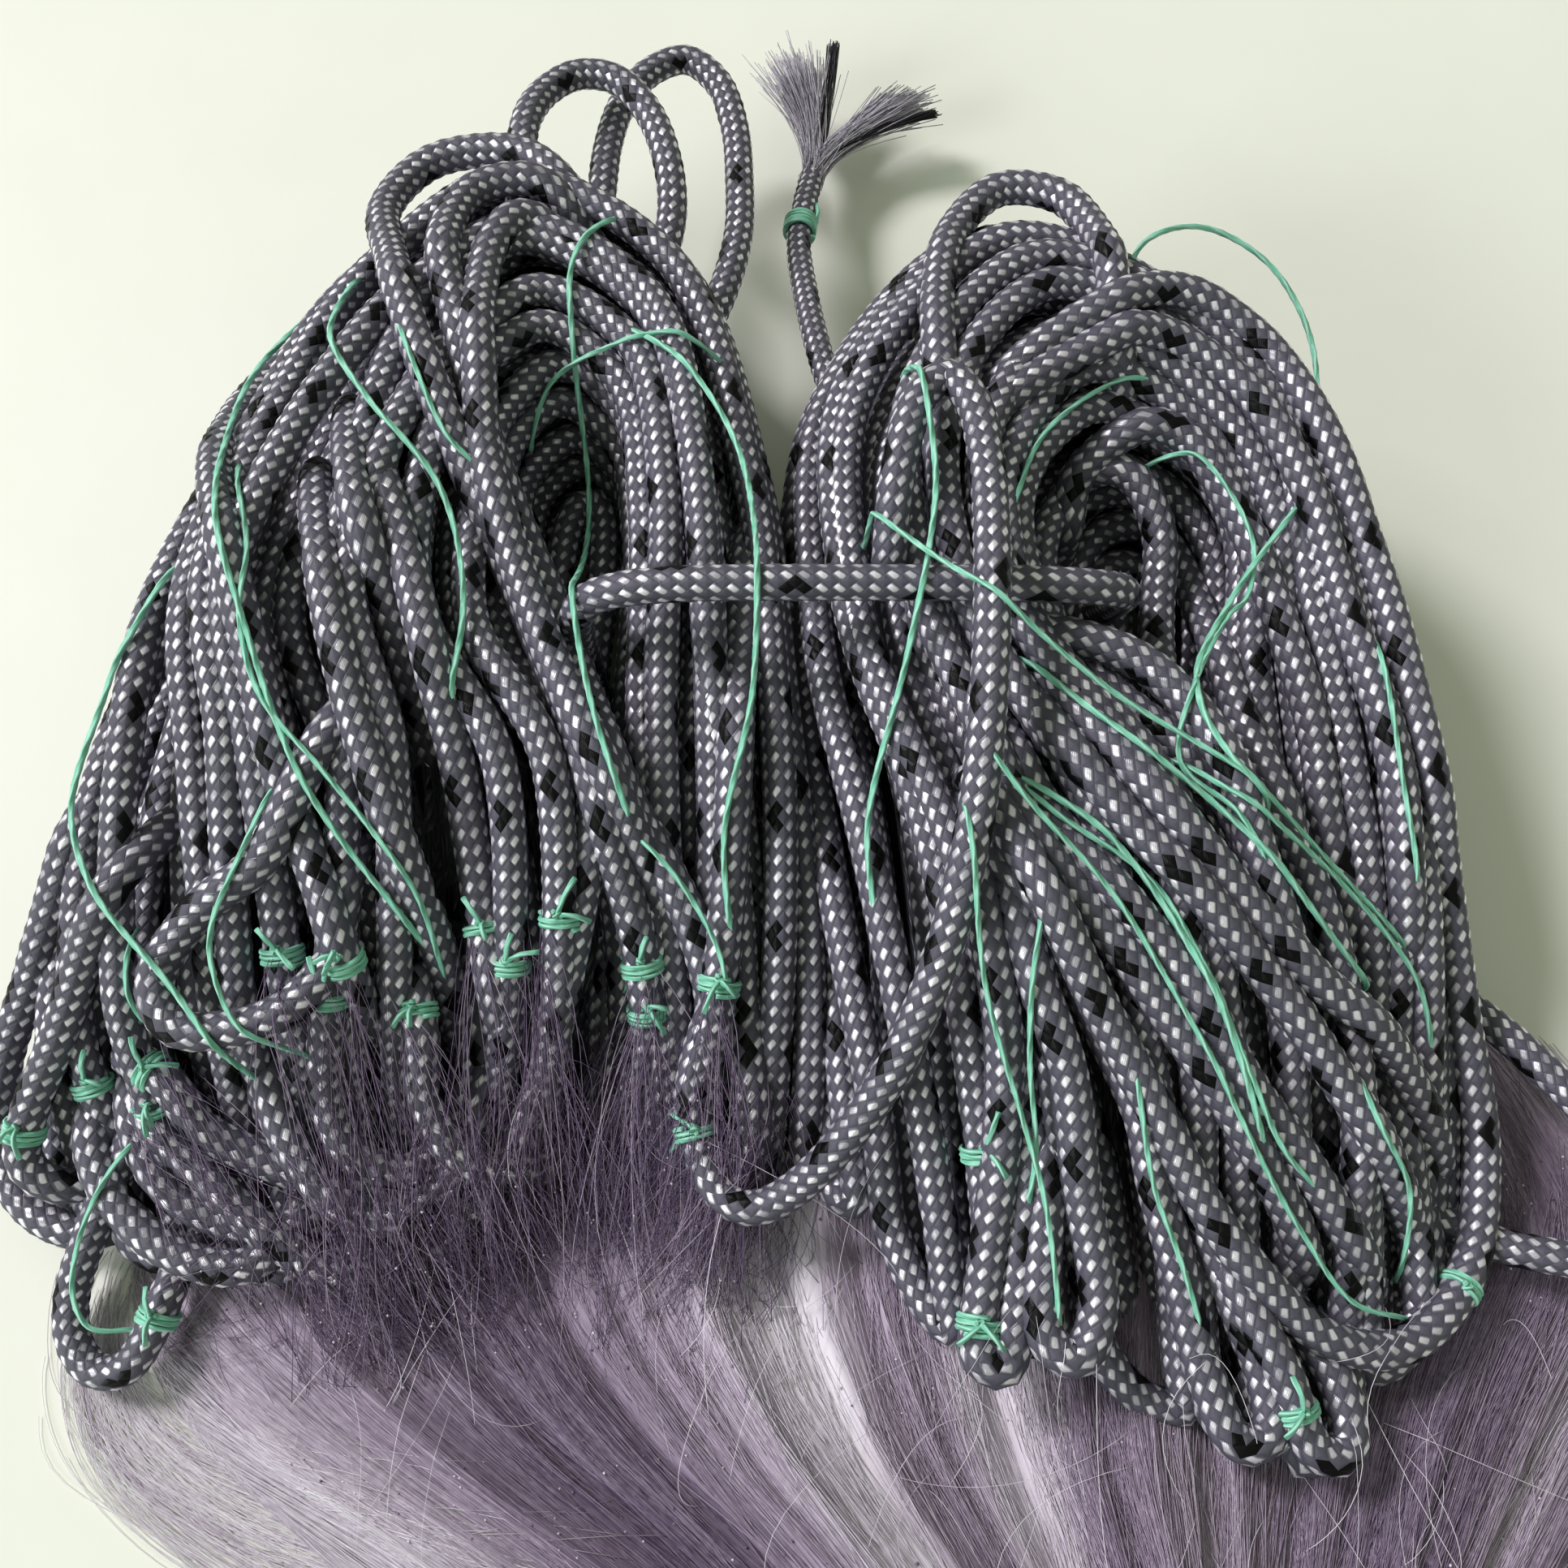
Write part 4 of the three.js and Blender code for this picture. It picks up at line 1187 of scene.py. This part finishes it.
def addYarns(name, spec, finish):
    count, steps = spec["each"], spec["steps"]
    share = chance.random(count)
    begin = chance.random(count) * spec["begin"]
    least, more = spec["length"]
    end = np.minimum(begin + least + more * chance.random(count), spec["end"])
    t = np.linspace(0, 1, steps)[None]
    along = begin[:, None] + (end - begin)[:, None] * t
    lane = laneAt(share, (begin + end) / 2)
    drift = chance.normal(size=count) * spec["drift"]
    numbers, sizes = zip(*spec["waves"])
    bend = chance.normal(size=(count, len(sizes))) * sizes
    phase = chance.random((count, len(sizes)))
    across = lane[:, None] + drift[:, None] * (t - spec["pivot"])
    for i, number in enumerate(numbers):
        across += bend[:, i:i + 1] * np.sin(2 * math.pi * (number * t + phase[:, i:i + 1]))
    past = spec["past"] * chance.random(count)[:, None]
    across = np.clip(shareOf(across, along), -past, 1 + past)
    paths = webPlace(across.ravel(), along.ravel()).reshape(count, steps, 3)
    rise = chance.random(count)[:, None] ** 2 * spec["lift"] + spec["leastLift"]
    paths[..., 2] += rise * (spec["endLift"] + np.sin(math.pi * t))
    dia = chance.uniform(*spec["dia"], count)
    bears, luck = spec["thinning"]
    kept = openness(paths)[0].max(axis=1) < chance.random(count) * luck + bears
    points, faces = filaments(paths[kept], dia[kept])
    tone = paleness(lane, begin + spec["toneAt"]) + openness(paths[:, steps // 2])[1]
    tone = np.clip(tone + chance.normal(size=count) * spec["toneSpread"], 0, 1)
    addPiece(name, points, faces, finish, values={"tone": perPoint(tone[kept], steps)})


def manyYarns(spec, makeYarn):  # paths, mesh and tones of yarns made one by one
    paths = np.array([makeYarn(spec) for _ in range(spec["count"])])
    points, faces = filaments(paths, chance.uniform(*spec["dia"], spec["count"]))
    tone = np.clip(chance.normal(*spec["tone"], spec["count"]), 0, 1)
    return paths, points, faces, perPoint(tone, spec["steps"])


def edgeYarn(spec):
    aside = chance.normal(size=2) + chance.normal(size=(len(spec["route"]), 2)) * spec["stray"]
    begin = chance.random() * spec["begin"]
    least, more = spec["length"]
    shares = np.linspace(begin, min(begin + least + more * chance.random(), 1), spec["steps"])
    plan = curveAt(np.array(spec["route"]) + aside * np.array(spec["spread"])[:, None], shares)
    return np.column_stack([plan, np.maximum(webHeight(plan), spec["floor"]) + spec["lift"]])


netFinish = yarnFinish("net_yarn", netLook)
for i in range(yarnSet["pieces"]):
    addYarns("webbing_yarns_" + str(i + 1), yarnSet, netFinish)
_, points, faces, tone = manyYarns(edgeSet, edgeYarn)
addPiece("webbing_edge_yarns", points, faces, netFinish, values={"tone": tone})

# Yarns of the net that come up over the front turns to the knots, and single wisps that lie freely
knotPlaces = [
    (-66, -26), (-56, -27), (-59, -31), (-50, -33), (-42, -22), (-33, -20), (-34, -25), (-22, -30),
    (-18, -26), (-9, -29), (-84, -37), (-95, -40), (-88, -44), (-107, -47), (-9, -46), (23, -50),
    (25, -73), (63, -82), (93, -63), (-88, -71),
]
fringe = {
    "count": 1500,
    "steps": 8,
    "span": (-68, 2),
    "up": (-3, 18),  # from the front outline back over the turns
    "down": (2, 15),  # and forward over the webbing
    "drawnTo": (-25, 0.22),  # the middle that they lean to, and how much
    "spread": 6,
    "fromKnots": 0.22,
    "knots": [place for place in knotPlaces if -90 < place[0] < 20],  # those beside the fringe
    "knotSpread": 1.5,
    "onWebbing": 4,  # least distance inside its left edge
    "bow": 4.5,
    "dia": (0.07, 0.14),
    "tone": (0.11, 0.17),
    "lift": 1.6,
}
# The wisps' near-white tone is partly the yarn's own pale colour and partly painted highlight, for glints
# along single yarns
wisps = {
    "count": 80,
    "steps": 12,
    "span": (-70, 100),
    "fromFront": (9, -6),  # spread and middle of where they begin
    "turn": 0.5,
    "length": (10, 34),
    "bow": 6,
    "dia": (0.06, 0.11),
    "tone": (0.9, 0.12),
    "lift": 2,
}
yarnRest = {"radius": 0.1, "overWebbing": 0.2, "rounds": 30}


def overlaid(a, b, spec, lift):  # a bent yarn that lies over whatever is there
    m = (a + b) / 2 + chance.normal(size=2) * spec["bow"]
    t = np.linspace(0, 1, spec["steps"])[:, None]
    plan = bent(a, m, b, t)
    need = np.maximum(restHeight(plan, yarnRest["radius"]), webHeight(plan) + yarnRest["overWebbing"])
    rise = lift(chance.random()) * spec["lift"] * np.sin(math.pi * t[:, 0])
    return np.column_stack([plan, tautened(need, yarnRest["rounds"]) + rise])


def fringeYarn(spec):  # from the turns or a knot down to the webbing
    middle, lean = spec["drawnTo"]
    x = chance.uniform(*spec["span"])
    front = frontAt(x)
    a = np.array([x, front + chance.uniform(*spec["up"])])
    if chance.random() < spec["fromKnots"]:
        knot = spec["knots"][chance.integers(len(spec["knots"]))]
        a = np.array(knot) + chance.normal(size=2) * spec["knotSpread"]
    toX = a[0] + (middle - a[0]) * lean + chance.normal() * spec["spread"]
    toY = front - chance.uniform(*spec["down"])
    edge = np.interp(-toY, -webTable[:, 0], webTable[:, 1])
    return overlaid(a, np.array([max(toX, edge + spec["onWebbing"]), toY]), spec, lambda luck: luck**2)


def wisp(spec):  # lies freely
    x = chance.uniform(*spec["span"])
    spread, middle = spec["fromFront"]
    a = np.array([x, frontAt(x) + chance.normal() * spread + middle])
    turn = chance.normal() * spec["turn"] - math.pi / 2
    b = a + chance.uniform(*spec["length"]) * np.array([math.cos(turn), math.sin(turn)])
    return overlaid(a, b, spec, lambda luck: luck)


fringePaths, points, faces, tone = manyYarns(fringe, fringeYarn)
_, morePoints, moreFaces, moreTone = manyYarns(wisps, wisp)
faces = np.concatenate([faces, moreFaces + len(points)])
points, tone = np.concatenate([points, morePoints]), np.concatenate([tone, moreTone])
addPiece("webbing_fringe", points, faces, netFinish, values={"tone": tone})
print("net yarns made")

# The hanging twine: loose strands over the hank, and the knots that tie the net to the line
twineRoutes = {
    "twine_left_rim": [(-70, 80), (-78, 62), (-77, 40), (-71, 18), (-62, -4), (-48, -22)],
    "twine_left_edge": [(-84, 30), (-92, 12), (-96, -4), (-91, -16), (-80, -28), (-72, -38)],
    "twine_left_mid": [(-63, 78), (-64, 62), (-57, 50), (-47, 38), (-43, 22), (-44, 6)],
    "twine_left_eye": [(-25, 90), (-31, 80), (-31, 66), (-29.5, 50), (-29, 34), (-28, 20), (-25, 6),
                       (-20, -8)],
    "twine_centre": [(-24, 69), (-14, 60), (-7, 48), (-4, 32), (-4, 10), (-8, -8), (-7, -22)],
    "twine_middle": [(17, 58), (20, 36), (19, 26), (16, 12), (11, -8), (12, -20)],
    "twine_fan_upper": [(31, 14), (40, 4), (56, -8), (78, -28)],
    "twine_fan_lower": [(29, -3), (42, -12), (54, -30), (62, -50)],
    "twine_right_leg": [(73, 40), (62, 25), (54, 9), (57, -1), (65, -8)],
}
twineLoop = [(50, 76, 42), (54, 83, 44), (64, 88, 41), (74, 84, 38), (79.5, 74, 36), (80, 62, 35),
             (76, 52, 35)]
moreTwine = [
    [(11, 32), (25, 17), (40, 7), (55, -1), (72, -12), (86, -22)],
    [(24, -2), (29, -8), (41, -19), (52, -35), (60, -49), (67, -59), (74, -67), (83, -69)],
    [(29, -4), (35, -9), (47, -17), (53, -27), (59, -40), (64, -49), (70, -54)],
    [(50, 0), (58, -6), (73, -14), (82, -21), (86, -26), (89, -36)],
    [(74, -38), (77, -46), (82, -53), (83, -64)],
    [(22, -8), (23, -15), (25, -30), (30, -45), (33, -55), (35, -71)],
    [(32, -22), (31, -29), (31, -39), (32, -49), (31, -57)],
    [(44, -38), (45, -45), (47, -54), (50, -61), (54, -72)],
    [(31, 35), (37, 49), (48, 58), (55, 59)],
    [(52, 49), (59, 48), (66, 35), (64, 25), (61, 22), (51, -1), (58, -8), (63, -16)],
    [(-20, -8), (-14, -14), (-9, -22), (-7, -30)],
    [(-88, -19), (-88, -28), (-85, -34)],
    [(-66, -2), (-71, -14), (-74, -21), (-74, -26), (-70, -34), (-63, -36)],
    [(-76, 44), (-71, 27), (-71, 16), (-68, 7), (-60, -2), (-53, -10), (-48, -17), (-46, -26)],
    [(-55, 65), (-51, 55), (-46, 45), (-42, 42)],
    [(82, 22), (83, 8), (84, -3), (86, -16)],
    [(-8, 64), (-16, 66), (-25, 65), (-34, 62), (-38, 54)],
    [(-88, -44), (-93, -51), (-96.5, -59), (-97, -66), (-94.5, -70), (-89, -70)],
]
strandSet = {"give": 0.0, "step": 1.0, "sag": 0.004, "dive": 3, "diveOver": 2.5, "lowest": -2.5}
knotSet = {
    "reach": 3.5,  # how far a knot may be from its place
    "away": 9,  # what a mm further counts, against a mm lower
    "margin": 2,  # points at a turn's ends without a knot
    "turns": (2.2, 3.2),
    "pitch": 0.75,
    "start": 6,  # most, as an angle
    "standOff": 0.2,
    "share": 0.85,  # of the twine's thickness, also of the further strands
    "lump": {"radius": 0.5, "turns": 1.6, "pitch": 0.7},
    "lumpTilt": 0.3,
    "ends": 2,
    "endReach": (2.5, 5),
    "endRest": 0.5,
    "endRise": 2,
    "endBow": 1.2,
}
laid += [smoothCurve(route) for route in bightRoutes.values()]
laid.append(spaced(ring))


def addTwine(name, path):
    tube = twineTube(path)
    addCord(name + "_strand", tube, greenFinish, name)


for name, plan in twineRoutes.items():
    addTwine(name, drape(plan, twine["dia"] / 2, strandSet))
addTwine("twine_right_rim", smoothCurve(twineLoop, twine["step"]))
strands = [twineTube(drape(plan, twine["dia"] / 2, strandSet), knotSet["share"]) for plan in moreTwine]
addTubes("twine_more_strands", strands, greenFinish)


def turnNear(place):  # the highest turn near a place, with its direction
    best = None
    margin = knotSet["margin"]
    for path in laid:
        inner = path[margin:-margin]
        gap = np.hypot(*(inner[:, :2] - place).T)
        cost = np.maximum(gap - knotSet["reach"], 0) * knotSet["away"] - inner[:, 2]
        i = int(np.argmin(cost))
        if best is None or cost[i] < best[0]:
            best = (cost[i], inner[i], path[i + 2 * margin] - path[i])
    return best[1:]


def knotTubes(place):  # turns of twine, a lump on top and two ends
    centre, axis = turnNear(place)
    radius, share = line["dia"] / 2 + knotSet["standOff"], knotSet["share"]
    turns, start = chance.uniform(*knotSet["turns"]), chance.random() * knotSet["start"]
    wrap = coil(centre, axis, radius, turns, knotSet["pitch"], start)
    top = centre + (0, 0, radius + knotSet["standOff"])
    lump = coil(top, (chance.normal(), chance.normal(), knotSet["lumpTilt"]), **knotSet["lump"])
    tubes = [twineTube(wrap, share), twineTube(lump, share)]
    for _ in range(knotSet["ends"]):
        away = chance.normal(size=2)
        away = away / np.linalg.norm(away) * chance.uniform(*knotSet["endReach"])
        tip = np.array([*(top[:2] + away), 0])
        tip[2] = restHeight(tip[None, :2], knotSet["endRest"])[0] + chance.random() * knotSet["endRise"]
        bow = (top + tip) / 2 + (0, 0, knotSet["endBow"])
        tubes.append(twineTube(smoothCurve([top, bow, tip], twine["step"]), share))
    return tubes


knots = [tube for place in knotPlaces for tube in knotTubes(np.array(place))]
addTubes("twine_knots", knots, greenFinish)
print("twine made:", len(twineRoutes) + 1 + len(moreTwine), "strands,", len(knotPlaces), "knots")

# The net's own knots, as beads on its yarns
beads = {
    "count": 1000,
    "dia": (0.3, 0.55),
    "rows": (0.14, 0.2, 0.29, 0.38, 0.47),  # share along the webbing
    "sway": (0.03, 1.3, 0.37),  # of a row: size, waves across, shift from row to row
    "scatter": 0.012,
    "lift": 0.3,
    "onFringe": 0.4,
    "fringeFrom": 3,  # points from a fringe yarn's upper end
    "tones": (0.15, 0.8),
    "corners": [(1, 0, 0), (-1, 0, 0), (0, 1, 0), (0, -1, 0), (0, 0, 1), (0, 0, -1)],
    "faces": [(0, 2, 4), (2, 1, 4), (1, 3, 4), (3, 0, 4), (2, 0, 5), (1, 2, 5), (3, 1, 5), (0, 3, 5)],
}


def addBeads(name, spec, finish):
    count = spec["count"]
    yarn = chance.integers(0, len(fringePaths), count)
    some = fringePaths[yarn, chance.integers(spec["fringeFrom"], fringePaths.shape[1], count)]
    share = chance.random(count)
    row = chance.integers(0, len(spec["rows"]), count)
    size, waves, shift = spec["sway"]
    along = np.array(spec["rows"])[row] + size * np.sin(2 * math.pi * (waves * share + shift * row))
    onWeb = webPlace(share, along + chance.normal(size=count) * spec["scatter"]) + (0, 0, spec["lift"])
    centre = np.where((chance.random(count) < spec["onFringe"])[:, None], some, onWeb)
    radius = chance.uniform(*spec["dia"], (count, 1, 1)) / 2
    points = centre[:, None] + np.array(spec["corners"], float) * radius
    faces = np.arange(count)[:, None, None] * len(spec["corners"]) + np.array(spec["faces"])
    tone = np.repeat(np.where(chance.random(count) < 0.5, *spec["tones"]), len(spec["corners"]))
    addPiece(name, points.reshape(-1, 3), faces.reshape(-1, 3), finish, values={"tone": tone})


addBeads("webbing_knots", beads, netFinish)


# Floor and light, in metres
floorSet = {
    "half": 2,
    "shades": (colour(236, 238, 226), colour(242, 244, 233)),
    "grain": (40, 4),  # scale and detail
    "roughness": 0.55,
}
lightSet = {
    "key": {"place": (-3.1, 1.8, 3.35), "size": 1.36, "power": 181, "shade": (1.0, 0.96, 1.0)},
    "fill": {"place": (-2.55, -1.7, 1.7), "size": 1.5, "power": 49, "shade": (0.93, 0.97, 1.0)},
}
aim = (0, 0, 0.02)
worldSet = {"shade": (0.92, 1.0, 0.79, 1), "strength": 0.34}


def addFloor(spec):
    mesh = bpy.data.meshes.new("floor")
    half = spec["half"]
    corners = [(-half, -half, 0), (half, -half, 0), (half, half, 0), (-half, half, 0)]
    mesh.from_pydata(corners, [], [(0, 1, 2, 3)])
    floor = bpy.data.objects.new("floor", mesh)
    bpy.context.scene.collection.objects.link(floor)
    f = Finish("pale_floor", Roughness=spec["roughness"])
    f.set("Base Color", f.mix(f.noise(f.objectPlace(), *spec["grain"]), *spec["shades"]))
    mesh.materials.append(f.material)


def addLight(name, spec):
    data = bpy.data.lights.new(name, "AREA")
    data.shape = "DISK"
    data.size = spec["size"]
    data.energy = spec["power"]
    data.color = spec["shade"]
    light = bpy.data.objects.new(name, data)
    light.location = spec["place"]
    x, y, z = np.array(spec["place"]) - aim
    light.rotation_euler = (math.atan2(math.hypot(x, y), z), 0, math.atan2(y, x) + math.pi / 2)
    bpy.context.scene.collection.objects.link(light)


def addWorld(spec):
    world = bpy.data.worlds.new("studio")
    world.use_nodes = True
    background = world.node_tree.nodes["Background"]
    background.inputs["Color"].default_value = spec["shade"]
    background.inputs["Strength"].default_value = spec["strength"]
    bpy.context.scene.world = world
    bpy.context.scene.view_settings.view_transform = "Standard"


addFloor(floorSet)
for name, spec in lightSet.items():
    addLight(name, spec)
addWorld(worldSet)
print("floor and light made")

print("triangles:", sum(triangles.values()), "most in one piece:", max(triangles.values()))
